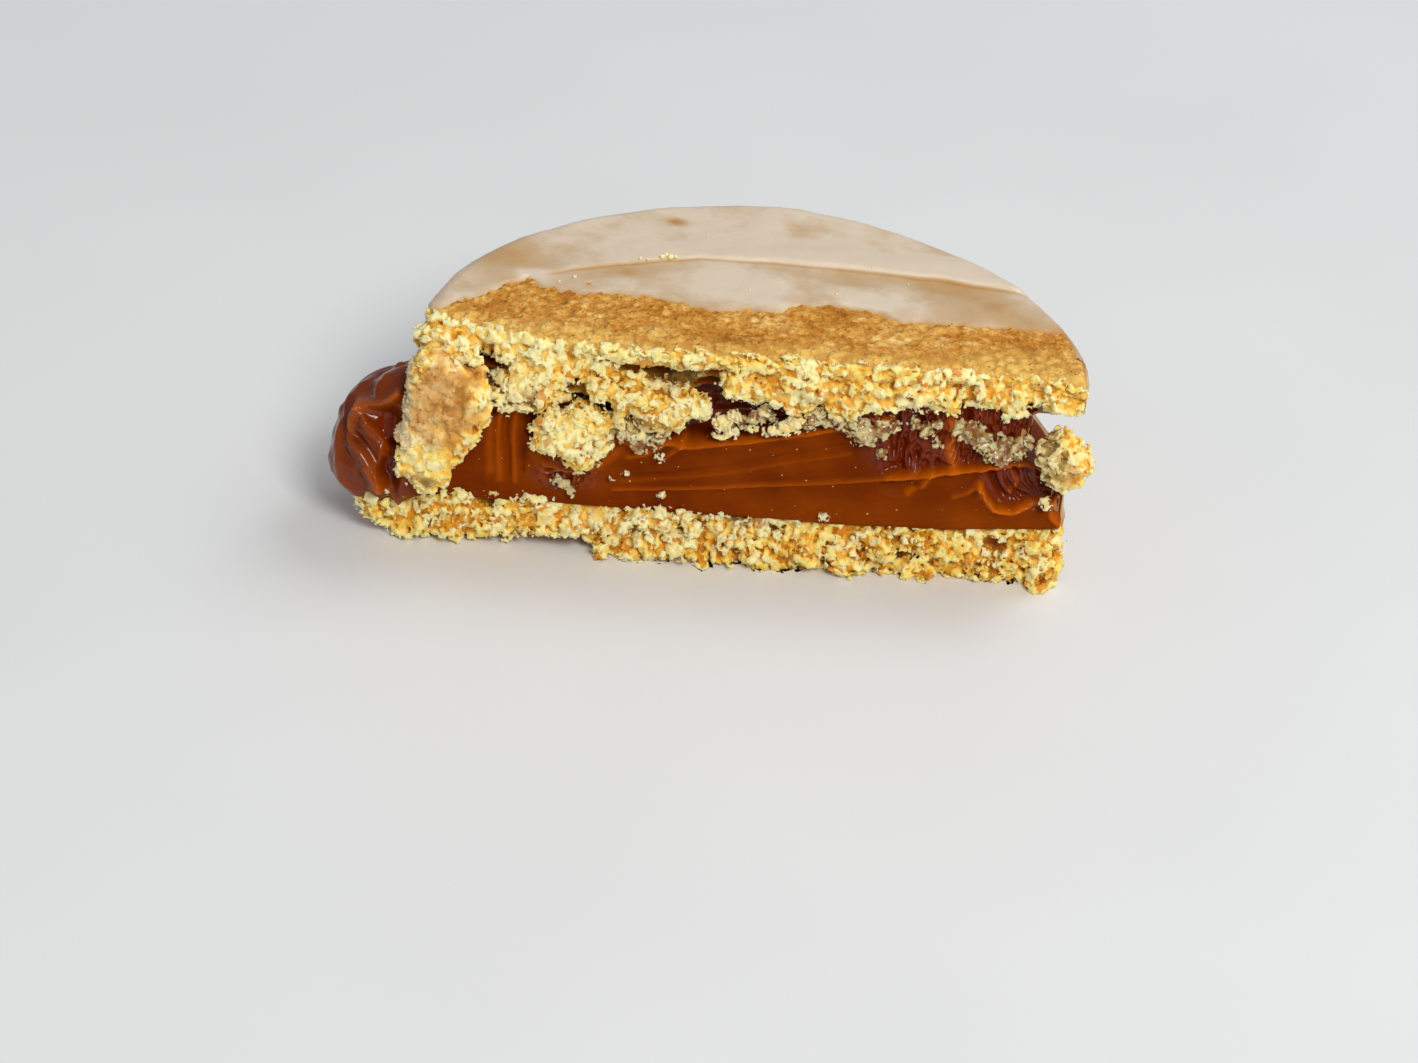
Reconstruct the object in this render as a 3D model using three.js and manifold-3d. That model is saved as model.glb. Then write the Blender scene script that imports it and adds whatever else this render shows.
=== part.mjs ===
// Half of a round alfajor: two shortbread discs with a thick layer of dulce de leche between them,
// iced on top and cut across the middle. The cut face looks along -Y, the round side is towards +Y,
// and the half rests on the flat underside of its lower biscuit. Millimetres, +Z up, with the origin
// at the centre of the bounding box's lowest face.
import * as THREE from "three";
import { mergeVertices } from "three/addons/utils/BufferGeometryUtils.js";
import Module from "manifold-3d";

// Driving dimensions of the cookie in its own frame: x = 0 and y = 0 at the middle of the cut.
const RADIUS = 35.2; // of both biscuits
const RIM_HEIGHT = 25.2; // from the table to the iced top, near its rim
const DOME = 0.6; // rise of the iced top over its rim
const GAP = 0.3; // clearance between neighbouring pieces

// The filling lies between a floor and a ceiling that both slope along the cut.
const FLOOR_LEFT = 6.8;
const FLOOR_RIGHT = 6.3;
const CEILING_LEFT = 18.2;
const CEILING_RIGHT = 20.7;

// The lower biscuit's left end has cracked and stands out beyond the round outline.
const FLAKE_REACH = 5.6;
const FLAKE_SPREAD = 0.34; // radians of rim that it takes in
const FLAKE_FROM = 1.4; // height at which it starts to stand out
const FLAKE_TO = 4.4; // height at which it reaches its full length

// Roundings, and the relief of the broken, knife-cut and baked surfaces.
const TOP_ROUND = 1.4; // the upper biscuit's iced edge
const FOOT_ROUND = 1.3; // the lower biscuit's bottom edge
const CRUMB_RELIEF = 0.75;
const KNIFE_RELIEF = 0.3;
const RIM_RELIEF = 0.22;
const FILLING_INSET = 1.0; // the filling's round side lies this far inside the biscuits' rims
const FILLING_BELLY = 0.7;

// The upper biscuit's left corner is chipped along this much of the cut, and this far back.
const CHIP_LENGTH = 20;
const CHIP_DEPTH = 3.4;
const CHIP_HEIGHT = 3.6;

// Pieces that broke away from the upper biscuit: middle, half sizes, lean about y and squareness.
const CORNER_PIECE = { at: [-32.2, -0.9, 16.0], half: [4.9, 3.0, 8.3], lean: -0.07, square: 3.2 };
const HANGING_PIECE = { at: [-18.6, -0.9, 14.2], half: [4.3, 2.3, 3.5], lean: 0.25, square: 2.2 };
const END_PIECE = { at: [33.4, -0.4, 16.9], half: [3.0, 2.7, 3.4], lean: -0.2, square: 2.1 };

// The filling squeezed out at the left end, as overlapping rounded lobes.
const LOBES = [
  { at: [-36.0, 5.2, 11.4], half: [7.4, 7.6, 6.6] },
  { at: [-37.2, 2.6, 8.6], half: [6.6, 4.6, 5.0] },
  { at: [-34.0, 9.0, 12.8], half: [6.4, 7.4, 5.4] },
];
const LOBES_LOWEST = 3.4;

// Steps of the faceted surfaces.
const ARC_STEPS = 52;
const CUT_STEPS = 32;
const LUMP_STEPS = 12;

const CRUMB = { color: 0xe6d08c, roughness: 0.9, metalness: 0 };
const CARAMEL = { color: 0x8a3d0c, roughness: 0.28, metalness: 0 };

const wasm = await Module();
wasm.setup();

const smooth = THREE.MathUtils.smoothstep;
const mix = THREE.MathUtils.lerp;

const fillingFloor = (x) => mix(FLOOR_LEFT, FLOOR_RIGHT, smooth(x, 0, RADIUS));
const fillingCeiling = (x) => mix(CEILING_LEFT, CEILING_RIGHT, smooth(x, -8, 12));

// How far a quarter round of the given radius stands back from its face, at a height above its foot.
const standsBack = (height, radius) =>
  radius * (1 - Math.sqrt(1 - (1 - Math.min(1, height / radius)) ** 2));

// Coarse crumbling of a broken face: three waves that don't repeat within the cookie's width.
function crumble(along, height, seed) {
  const slow = Math.sin(along * 0.47 + seed) * Math.cos(height * 0.61 + seed * 2.1);
  const middling = Math.sin(along * 1.13 + height * 0.9 + seed * 3.7);
  const quick = Math.sin(along * 2.3 - height * 1.7 + seed * 1.3);
  return 0.5 * slow + 0.32 * middling + 0.18 * quick;
}

// One closed ring of the half disc: round the arc from the right end to the left one, then back
// along the cut. reachAt(angle) is the arc's radius, cutAt(x) the cut's y and heightAt(x) its z.
function halfRing(reachAt, cutAt, heightAt) {
  const ring = [];
  for (let step = 0; step <= ARC_STEPS; step++) {
    const angle = (Math.PI * step) / ARC_STEPS;
    const reach = reachAt(angle);
    const x = reach * Math.cos(angle);
    const nearCut = (1 - Math.sin(angle)) ** 4;
    ring.push(new THREE.Vector3(x, reach * Math.sin(angle) + cutAt(x) * nearCut, heightAt(x)));
  }
  const left = -reachAt(Math.PI);
  const right = reachAt(0);
  for (let step = 1; step < CUT_STEPS; step++) {
    const x = mix(left, right, step / CUT_STEPS);
    ring.push(new THREE.Vector3(x, cutAt(x), heightAt(x)));
  }
  return ring;
}

function middleOf(ring) {
  const middle = new THREE.Vector3();
  ring.forEach((point) => middle.add(point));
  return middle.divideScalar(ring.length);
}

// A closed solid through rings of equally many points, lowest first, with a fan over each end.
function throughRings(rings) {
  const around = rings[0].length;
  const points = rings.flat();
  const foot = points.push(middleOf(rings[0])) - 1;
  const crown = points.push(middleOf(rings.at(-1))) - 1;
  const last = (rings.length - 1) * around;
  const index = [];
  for (let step = 0; step < around; step++) {
    const next = (step + 1) % around;
    for (let low = 0; low < last; low += around) {
      const high = low + around;
      index.push(low + step, low + next, high + next);
      index.push(low + step, high + next, high + step);
    }
    index.push(foot, next, step);
    index.push(crown, last + step, last + next);
  }
  const geometry = new THREE.BufferGeometry().setFromPoints(points);
  geometry.setIndex(index);
  return geometry;
}

// A ring drawn in towards the half disc's middle and raised, for the steps of a domed top.
function drawnIn(ring, share, rise) {
  const middle = new THREE.Vector3(0, RADIUS * 0.42, 0);
  return ring.map((point) => {
    const moved = point.clone().lerp(middle, share);
    moved.z = point.z + rise;
    return moved;
  });
}

// The lower biscuit, or with a clearance the space that the filling keeps free for it.
function lowerBiscuit(clearance = 0) {
  const shares = [0, 0.06, 0.2, 0.4, 0.6, 0.8, 0.92, 1];
  return throughRings(
    shares.map((share) => {
      const height = share * FLOOR_LEFT;
      const foot = standsBack(height, FOOT_ROUND);
      const reachAt = (angle) => {
        const nearLeft = 1 - smooth(Math.PI - angle, 0, FLAKE_SPREAD);
        const flake = FLAKE_REACH * nearLeft * smooth(height, FLAKE_FROM, FLAKE_TO);
        const rough = RIM_RELIEF * crumble(angle * 30, height, 1);
        return RADIUS - foot + flake + rough + clearance;
      };
      const cutAt = (x) => 0.6 * foot - clearance + CRUMB_RELIEF * crumble(x, height, 2);
      const heightAt = (x) => share * (fillingFloor(x) + clearance);
      return halfRing(reachAt, cutAt, heightAt);
    }),
  );
}

function fillingSlab() {
  const levels = 7;
  const rings = [];
  for (let level = 0; level <= levels; level++) {
    const share = level / levels;
    const side = RADIUS - FILLING_INSET + FILLING_BELLY * Math.sin(Math.PI * share);
    const reachAt = (angle) => {
      const behindEndPiece = 2.6 * (1 - smooth(angle, 0, 0.3)) * smooth(share, 0.4, 0.7);
      return side - behindEndPiece + RIM_RELIEF * crumble(angle * 16, share, 5);
    };
    const cutAt = (x) => 0.5 + KNIFE_RELIEF * crumble(x * 0.5, share * 12, 4);
    const heightAt = (x) => mix(fillingFloor(x) + GAP, fillingCeiling(x), share);
    rings.push(halfRing(reachAt, cutAt, heightAt));
  }
  return throughRings(rings);
}

function upperBiscuit() {
  const ringAt = (share, drawnBack) => {
    const height = mix(CEILING_LEFT, RIM_HEIGHT, share);
    const chipAt = (x) => {
      const nearLeft = 1 - smooth(x, -RADIUS, -RADIUS + CHIP_LENGTH);
      return CHIP_DEPTH * nearLeft * smooth(height, RIM_HEIGHT - CHIP_HEIGHT, RIM_HEIGHT);
    };
    return halfRing(
      (angle) => RADIUS - drawnBack + RIM_RELIEF * crumble(angle * 24, height, 7),
      (x) => 0.4 + 0.2 * drawnBack + chipAt(x) + CRUMB_RELIEF * crumble(x, height, 8),
      (x) => mix(fillingCeiling(x) + GAP, RIM_HEIGHT, share),
    );
  };
  const rings = [ringAt(0, 0.5), ringAt(0.08, 0), ringAt(0.3, 0), ringAt(0.5, 0)];
  const roundSteps = 4;
  const roundFrom = 0.78;
  for (let step = 0; step <= roundSteps; step++) {
    const turn = (Math.PI / 2) * (step / roundSteps);
    rings.push(ringAt(mix(roundFrom, 1, Math.sin(turn)), TOP_ROUND * (1 - Math.cos(turn))));
  }
  const rim = rings.at(-1);
  [0.12, 0.3, 0.55, 0.8].forEach((share) => {
    rings.push(drawnIn(rim, share, DOME * Math.sin((Math.PI / 2) * share)));
  });
  return throughRings(rings);
}

// A broken-off piece: a rounded block with a crumbled surface, leaning about the y axis.
function lump({ at, half, lean, square }, clearance = 0) {
  const geometry = new THREE.SphereGeometry(1, LUMP_STEPS * 2, LUMP_STEPS);
  const position = geometry.getAttribute("position");
  const middle = new THREE.Vector3(...at);
  const reach = new THREE.Vector3(...half).addScalar(clearance);
  const axis = new THREE.Vector3(0, 1, 0);
  const point = new THREE.Vector3();
  for (let i = 0; i < position.count; i++) {
    point.fromBufferAttribute(position, i);
    const powers = point.toArray().map((value) => Math.abs(value) ** square);
    point.divideScalar((powers[0] + powers[1] + powers[2]) ** (1 / square));
    const rough = 1 + 0.06 * crumble(point.x * 4 + point.y * 3, point.z * 4, at[0]);
    point.multiply(reach).multiplyScalar(rough).applyAxisAngle(axis, lean).add(middle);
    position.setXYZ(i, point.x, point.y, point.z);
  }
  return geometry;
}

function lobe({ at, half }) {
  return new THREE.SphereGeometry(1, 26, 16).scale(...half).translate(...at);
}

// manifold-3d's solid of a geometry, and the way back.
function solidOf(geometry) {
  const bare = new THREE.BufferGeometry();
  bare.setAttribute("position", geometry.getAttribute("position"));
  bare.setIndex(geometry.getIndex());
  const merged = mergeVertices(bare, 1e-4);
  const triVerts = new Uint32Array(merged.index.array);
  const vertProperties = merged.attributes.position.array;
  return new wasm.Manifold(new wasm.Mesh({ numProp: 3, vertProperties, triVerts }));
}

function geometryOf(solid) {
  const mesh = solid.getMesh();
  const geometry = new THREE.BufferGeometry();
  geometry.setAttribute("position", new THREE.BufferAttribute(mesh.vertProperties.slice(), 3));
  geometry.setIndex(new THREE.BufferAttribute(mesh.triVerts.slice(), 1));
  geometry.computeVertexNormals();
  return geometry;
}

// The largest body of a solid, because a cut can leave slivers beside it.
const mainBody = (solid) => solid.decompose().sort((a, b) => b.volume() - a.volume())[0];

function slabBetween(low, high) {
  const side = RADIUS * 4;
  return solidOf(new THREE.BoxGeometry(side, side, high - low).translate(0, 0, (low + high) / 2));
}

const brokenPieces = [CORNER_PIECE, HANGING_PIECE, END_PIECE];

function clearOfPieces(solid) {
  return brokenPieces.reduce((rest, piece) => rest.subtract(solidOf(lump(piece, GAP))), solid);
}

function filling() {
  const squeezedOut = LOBES.map((shape) => solidOf(lobe(shape)))
    .reduce((joined, shape) => joined.add(shape))
    .intersect(slabBetween(LOBES_LOWEST, CEILING_LEFT))
    .subtract(solidOf(lowerBiscuit(GAP)));
  return mainBody(clearOfPieces(solidOf(fillingSlab()).add(squeezedOut)));
}

function node(name, solid, finish) {
  const mesh = new THREE.Mesh(geometryOf(solid), new THREE.MeshStandardMaterial(finish));
  mesh.name = name;
  return mesh;
}

const cookie = new THREE.Group();
cookie.add(
  node("lower_biscuit", mainBody(clearOfPieces(solidOf(lowerBiscuit()))), CRUMB),
  node("filling", filling(), CARAMEL),
  node("upper_biscuit", mainBody(clearOfPieces(solidOf(upperBiscuit()))), CRUMB),
  node("corner_piece", solidOf(lump(CORNER_PIECE)), CRUMB),
  node("hanging_piece", solidOf(lump(HANGING_PIECE)), CRUMB),
  node("end_piece", solidOf(lump(END_PIECE)), CRUMB),
);

// Moves the cookie so that the origin is at the centre of the bounding box's lowest face.
const extent = new THREE.Box3().setFromObject(cookie, true);
const centre = extent.getCenter(new THREE.Vector3());
cookie.position.set(-centre.x, -centre.y, -extent.min.z);

const part = new THREE.Group();
part.add(cookie);
export default part;
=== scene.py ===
"""Half of an iced alfajor: two shortbread discs, a thick dulce de leche filling, and sugar icing.

Each layer starts as a cylinder that is cut in half, rounded and remeshed, and then bent to the outlines
below. Broken faces are packed with lumps, turned into fused granules and strewn with finer grains.
Outlines and places are in millimetres from the cut's middle on the table, with x to the right along the
cut, y into the half and z up.
"""

import math
import random
from functools import partial

import bmesh
import bpy
import numpy as np
from mathutils import Matrix, Vector, noise


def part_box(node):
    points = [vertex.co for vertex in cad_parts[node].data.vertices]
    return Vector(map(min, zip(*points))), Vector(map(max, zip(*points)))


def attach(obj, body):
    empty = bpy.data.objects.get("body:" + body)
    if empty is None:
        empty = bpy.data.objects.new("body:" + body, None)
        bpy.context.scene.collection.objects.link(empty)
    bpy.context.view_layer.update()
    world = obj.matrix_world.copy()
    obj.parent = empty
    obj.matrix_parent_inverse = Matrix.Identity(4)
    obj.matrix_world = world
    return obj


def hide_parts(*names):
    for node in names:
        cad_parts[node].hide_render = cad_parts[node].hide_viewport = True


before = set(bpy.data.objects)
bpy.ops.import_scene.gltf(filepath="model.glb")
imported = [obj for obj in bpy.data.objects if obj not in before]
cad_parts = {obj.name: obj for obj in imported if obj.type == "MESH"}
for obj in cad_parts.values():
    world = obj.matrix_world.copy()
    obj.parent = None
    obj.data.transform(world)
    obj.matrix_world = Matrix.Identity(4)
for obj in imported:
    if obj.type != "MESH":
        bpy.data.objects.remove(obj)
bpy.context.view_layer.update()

bl_info = {
    "name": "Half Alfajor",
    "version": (1, 0, 0),
    "blender": (4, 5, 0),
    "location": "View3D > Sidebar > Alfajor",
    "description": "Models a cut half of an iced alfajor around its packed solids",
    "category": "Object",
}

MM = 0.001

# The middle of the cut, on the table, and the biscuits' radius: measured on the upper biscuit's solid.
UPPER_LOW, UPPER_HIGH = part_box("upper_biscuit")
RADIUS = (UPPER_HIGH.x - UPPER_LOW.x) / 2 / MM
CUT_MIDDLE = Vector(((UPPER_LOW.x + UPPER_HIGH.x) / 2, UPPER_HIGH.y - RADIUS * MM, 0))

# Heights of the flat layers, before they are bent to the outlines.
LOWER_TOP = 7
FILLING_LOW = 5.5
FILLING_HIGH = 21
UPPER_BOTTOM = 17.5
ICING_LOW = 4.5
RIM_HEIGHT = 25.2

# Size of the faces that each kind of shape is remeshed with.
BODY_VOXEL = 0.5
FILLING_VOXEL = 0.6
ICING_VOXEL = 0.45
LUMPS_VOXEL = 0.36
BROKEN_VOXEL = 0.3
SMALL_VOXEL = 0.12

# Size of the cells that granules are formed in: on the cut, on the broken pieces and on the small crumbs.
CUT_CELL = 0.206
BROKEN_CELL = 0.19
SMALL_CELL = 0.13

# How deep behind the cut the granules reach, and a depth that takes in the whole of a piece.
CRUMB_DEPTH = 3.7
WHOLE_DEPTH = 30

RIM_SIDES = 144
ROUNDING_STEPS = 5
MOST_TRIANGLES = 199_000  # in one piece

# Outlines along the cut, as (x, value).
FILLING_FLOOR = ((-36, 8.6), (-31, 7.0), (-24, 6.8), (-5, 6.8), (9, 6.2), (22, 6.6), (36, 7.8))
BISCUIT_CEILING = (
    (-36, 18.6), (-26, 18.6), (-20, 18.2), (-13, 18.9), (-5, 19.6), (2, 20.7), (12, 20.7), (24, 20.9),
    (36, 21.6),
)
CRUST_EDGE = (
    (-36, 7.0), (-34.6, 5.4), (-33, 3.9), (-29, 2.8), (-24, 1.2), (-16, -0.1), (-9, -0.9), (0, -0.4),
    (16, -0.5), (22, 0.3), (29, 0.8), (33.6, -0.6), (36, -0.6),
)
ICING_EDGE = (
    (-36, 5.6), (-33, 6.4), (-31, 8.6), (-27.5, 11), (-26.5, 13.1), (-24.5, 14.3), (-23, 12.8), (-20.8, 11.6),
    (-14, 11.7), (-10, 11.6), (-7, 10.1), (-4, 9.7), (2, 10.6), (5, 12.1), (8.5, 12.4), (13.6, 11.6),
    (15.5, 10.1), (19, 10.6), (25, 11.4), (32.2, 11.0), (33.1, 8.0), (33.8, 4.0), (34.3, 1.0), (36, 0.5),
)
FILLING_TOP = (
    (-36, 18), (-22, 17.6), (-15, 15.2), (-11, 14.3), (-8.6, 14.9), (-6, 14.6), (-3, 15.2), (0, 15.6),
    (4, 16.5), (7, 17.3), (10, 18.2), (15, 19.6), (36, 20),
)
UNDERSIDE = ((-36, 1.2), (-30, 0.2), (-26, 1.0), (-22, 2.4), (-18, 2.9), (-15.5, 0.6), (-12, 0), (36, 0))

# Hollows in the upper biscuit's broken face: x, z, half width, half height and depth.
UPPER_HOLLOWS = (
    (-27.9, 20.7, 2.0, 2.6, 3.4),
    (-33.0, 23.0, 3.4, 0.5, 1.6),
    (-11.0, 23.2, 3.2, 1.5, 3.3),
    (-7.0, 23.0, 1.8, 0.8, 2.6),
    (-3.0, 23.2, 2.8, 1.4, 3.3),
    (-8.2, 21.8, 5.6, 1.3, 1.5),
    (-3.6, 20.4, 2.4, 1.0, 4.5),
    (1.0, 20.0, 3.0, 0.8, 3.5),
    (-21.5, 21.6, 1.4, 0.8, 1.6),
    (-17.9, 19.6, 3.6, 0.45, 3.6),
    (-14.2, 19.0, 1.2, 0.5, 3.0),
    (15.2, 22.7, 1.2, 0.7, 1.8),
    (30.2, 20.6, 2.2, 1.0, 3.5),
)
LOWER_HOLLOWS = (
    (-27.0, 5.2, 1.6, 0.8, 1.6),
    (-6.0, 3.6, 2.2, 0.9, 1.4),
    (3.5, 4.6, 1.6, 0.7, 1.3),
    (18.0, 2.4, 2.4, 0.8, 1.5),
    (28.0, 4.4, 1.8, 0.8, 1.2),
)

# Crumb that drew moisture out of the filling, and places where the crumb is made paler: x, z, half width,
# half height.
SOAKED_SPOTS = (
    (-11.5, 15.8, 4.0, 2.2),
    (-24.2, 18.8, 2.4, 1.7),
    (-24.0, 7.6, 6.0, 1.0),
    (1.5, 5.6, 4.0, 0.5),
    (-8.0, 21.8, 3.2, 0.8),
    (-0.6, 19.3, 2.2, 1.0),
    (31.4, 16.6, 2.2, 3.2),
    (-34.5, 9.4, 2.0, 1.0),
)
BRIGHT_SPOTS = (
    (-34.0, 12.6, 2.8, 2.6),
    (-32.0, 24.2, 5.0, 1.6),
    (-18.6, 15.6, 3.6, 2.2),
    (-4.0, 19.6, 3.0, 0.9),
    (5.5, 21.6, 2.6, 0.9),
    (-8.0, 19.4, 2.4, 1.0),
    (-23.0, 23.8, 8.0, 1.6),
    (-5.0, 4.8, 11.0, 2.4),
    (-25.0, 21.0, 3.0, 1.6),
)

# Recognisable lumps of the upper biscuit's face: x, y, z and size.
UPPER_LUMPS = (
    (-33.6, 4.2, 23.9, 1.2), (-34.6, 4.2, 22.9, 1.0), (-33.0, 3.4, 24.0, 1.4), (-34.2, 2.8, 23.4, 1.0),
    (-13.3, 0.2, 19.2, 1.5), (-11.2, -0.5, 19.8, 1.7), (-9.2, -0.5, 18.7, 1.8), (-7.4, -0.4, 19.2, 1.6),
    (-5.6, -0.3, 19.5, 1.3), (-10.6, -0.2, 17.6, 1.4), (-8.4, 0.3, 17.2, 1.2),
    (-13.6, 0.8, 16.2, 1.4), (-11.6, 0.6, 15.7, 1.6), (-9.6, 0.9, 16.0, 1.3), (-13.8, 0.9, 14.6, 1.0),
    (-24.6, 0.2, 19.9, 1.5), (-22.9, 0.1, 19.0, 1.5), (-24.0, 0.2, 18.4, 1.2), (-22.2, 0.6, 20.8, 1.3),
    (-26.2, 0.2, 18.4, 1.3), (-1.5, 0.2, 22.4, 1.5), (0.6, 0.4, 21.9, 1.3), (3.2, 0.4, 21.7, 1.4),
    (-12.4, 0.6, 21.2, 1.2), (-9.4, 0.5, 21.0, 1.1), (5.4, 0.5, 20.2, 1.2), (9.0, 0.4, 20.4, 1.3),
)


def along(outline, x):
    """The outline's value at x, or at each x of an array."""
    places, values = zip(*outline)
    return np.interp(x, places, values)


def at(x, y, z):
    """A point given in millimetres from the cut's middle, in the frame."""
    return CUT_MIDDLE + Vector((x, y, z)) * MM


def linear(hex_colour):
    """An sRGB colour such as "#C68B3B" as linear red, green and blue."""
    values = [int(hex_colour[i : i + 2], 16) / 255 for i in (1, 3, 5)]
    return tuple(v / 12.92 if v <= 0.04045 else ((v + 0.055) / 1.055) ** 2.4 for v in values)


def smooth(value, low, high):
    """Goes smoothly from 0 at low to 1 at high."""
    share = np.clip((value - low) / (high - low), 0, 1)
    return share * share * (3 - 2 * share)


def fade(value, low, high):
    """Goes smoothly from 1 at low to 0 at high."""
    return 1 - smooth(value, low, high)


def ellipse(points, x, z, half_width, half_height, soft=0.35):
    """1 inside an ellipse on the cut and 0 outside, softly."""
    reach = np.hypot((points[:, 0] - x) / half_width, (points[:, 2] - z) / half_height)
    return fade(reach, 1 - soft, 1 + soft)


# Modelling helpers -----------------------------------------------------------------------------------


def only(obj):
    """Makes an object the only selected one, and the active one."""
    bpy.ops.object.select_all(action="DESELECT")
    obj.select_set(True)
    bpy.context.view_layer.objects.active = obj


def started(add_primitive, **sizes):
    """The object of a new primitive, added with nothing else selected."""
    bpy.ops.object.select_all(action="DESELECT")
    add_primitive(**sizes)
    return bpy.context.active_object


def finish_with(obj, kind, **settings):
    """Adds a modifier with its settings and applies it."""
    only(obj)
    modifier = obj.modifiers.new(kind.title(), kind)
    for name, value in settings.items():
        setattr(modifier, name, value)
    bpy.ops.object.modifier_apply(modifier=modifier.name)


def remesh(obj, voxel):
    """Makes one closed mesh of even faces of the given size in millimetres."""
    finish_with(obj, "REMESH", mode="VOXEL", voxel_size=voxel * MM)


def roughen(obj, texture, strength, mid_level=0.5, group=""):
    """Pushes the surface in and out by a texture, by up to the strength in millimetres."""
    finish_with(
        obj,
        "DISPLACE",
        texture=texture,
        strength=strength * MM,
        mid_level=mid_level,
        texture_coords="LOCAL",
        vertex_group=group,
    )


def finish_surface(obj, material):
    """Gives an object its one material, and shades it smoothly."""
    obj.data.materials.clear()
    obj.data.materials.append(bpy.data.materials[material])
    only(obj)
    bpy.ops.object.shade_smooth()


def join(objects):
    """Joins the objects' meshes into the first object."""
    only(objects[0])
    for other in objects[1:]:
        other.select_set(True)
    bpy.ops.object.join()
    return objects[0]


def points_of(obj):
    """The vertices in millimetres from the cut's middle, one row each."""
    flat = np.empty(len(obj.data.vertices) * 3)
    obj.data.vertices.foreach_get("co", flat)
    return (flat.reshape(-1, 3) - np.array(CUT_MIDDLE)) / MM


def set_points(obj, points):
    """Moves the vertices to these places in millimetres from the cut's middle."""
    obj.data.vertices.foreach_set("co", (points * MM + np.array(CUT_MIDDLE)).ravel())
    obj.data.update()


def normals_of(obj):
    """The vertices' normals, one row each."""
    flat = np.empty(len(obj.data.vertices) * 3)
    obj.data.vertex_normals.foreach_get("vector", flat)
    return flat.reshape(-1, 3)


def waves(points, size, seed=0.0):
    """Smooth noise of about -1 to 1 at each point, with waves of the given size in millimetres."""
    shift = Vector((seed * 7.3, seed * 3.1, seed * 5.7))
    return np.array([noise.noise(Vector(point) / size + shift) for point in points])


def ridged(points, size, seed=0.0):
    """Noise of -1 to 1 with sharp crests, which lie at -1."""
    return 3 * np.abs(waves(points, size, seed)) - 1


def set_weights(obj, name, weights):
    """Keeps a weight for each vertex, as a vertex group for modifiers and an attribute for materials."""
    group = obj.vertex_groups.get(name) or obj.vertex_groups.new(name=name)
    for level in range(1, 11):
        chosen = np.nonzero(np.round(weights * 10) == level)[0]
        group.add(chosen.tolist(), level / 10, "REPLACE")
    set_share(obj, name, weights)


def set_share(obj, name, weights):
    """Keeps a value for each vertex, or one for all, as an attribute that materials and node groups read."""
    title = name + "_share"
    known = obj.data.attributes.get(title) or obj.data.attributes.new(title, "FLOAT", "POINT")
    known.data.foreach_set("value", np.full(len(known.data), weights, np.float32))


def half_cylinder(name, radius, low, high, rim_round, foot_round):
    """A half disc with rounded arcs above and below, cut along the x axis."""
    obj = started(
        bpy.ops.mesh.primitive_cylinder_add,
        vertices=RIM_SIDES,
        radius=radius * MM,
        depth=(high - low) * MM,
        location=at(0, 0, (low + high) / 2),
    )
    obj.name = name
    bpy.ops.object.transform_apply(location=True, rotation=False, scale=False)
    bpy.ops.object.mode_set(mode="EDIT")
    bpy.ops.mesh.select_mode(type="EDGE")
    for height, size in ((high, rim_round), (low, foot_round)):
        if size:
            bpy.ops.mesh.select_all(action="DESELECT")
            mesh = bmesh.from_edit_mesh(obj.data)
            for edge in mesh.edges:
                edge.select_set(all(abs(v.co.z / MM - height) < 0.01 for v in edge.verts))
            bmesh.update_edit_mesh(obj.data)
            bpy.ops.mesh.bevel(offset=size * MM, segments=ROUNDING_STEPS, affect="EDGES")
    bpy.ops.mesh.select_all(action="SELECT")
    bpy.ops.mesh.bisect(plane_co=at(0, 0, 0), plane_no=(0, -1, 0), use_fill=True, clear_outer=True)
    bpy.ops.object.mode_set(mode="OBJECT")
    return obj


def divide_faces(obj, chosen, cuts):
    """Subdivides the faces that the test picks by their middles, an array in millimetres."""
    middles = np.empty(len(obj.data.polygons) * 3)
    obj.data.polygons.foreach_get("center", middles)
    picked = chosen((middles.reshape(-1, 3) - np.array(CUT_MIDDLE)) / MM)
    only(obj)
    bpy.ops.object.mode_set(mode="EDIT")
    bpy.ops.mesh.select_mode(type="FACE")
    bpy.ops.mesh.select_all(action="DESELECT")
    bpy.ops.object.mode_set(mode="OBJECT")
    obj.data.polygons.foreach_set("select", picked)
    bpy.ops.object.mode_set(mode="EDIT")
    bpy.ops.mesh.subdivide(number_cuts=cuts, smoothness=0)
    bpy.ops.object.mode_set(mode="OBJECT")


def lump_shapes(count, seed, sides=3, roughness=0.9):
    """A few irregular rounded lumps of radius one millimetre, to be copied."""
    shapes = []
    texture = clouds_of(0.9)
    for number in range(count):
        shape = started(bpy.ops.mesh.primitive_ico_sphere_add, subdivisions=sides, radius=MM)
        shape.name = f"lump shape {number}"
        apart = Vector((seed + number, number, 0)) * 3 * MM
        shape.data.transform(Matrix.Translation(apart))
        roughen(shape, texture, roughness)
        shape.data.transform(Matrix.Translation(-apart))
        bpy.ops.object.shade_smooth()
        shapes.append(shape)
    return shapes


def copy_lump(shape, place, size, rng, flat=1.0):
    """A copy of a lump with its own mesh, turned at random, at a place in millimetres."""
    copy = shape.copy()
    copy.data = shape.data.copy()
    bpy.context.scene.collection.objects.link(copy)
    axis = Vector((rng.gauss(0, 1), rng.gauss(0, 1), rng.gauss(0, 1)))
    turn = Matrix.Rotation(rng.uniform(0, math.tau), 4, axis)
    stretch = Matrix.Diagonal((size * rng.uniform(0.85, 1.2), size * flat, size * rng.uniform(0.8, 1.1), 1))
    copy.data.transform(Matrix.Translation(at(*place)) @ stretch @ turn)
    return copy


def remove(objects):
    """Deletes objects that only served as patterns."""
    for obj in objects:
        bpy.data.objects.remove(obj)


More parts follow.
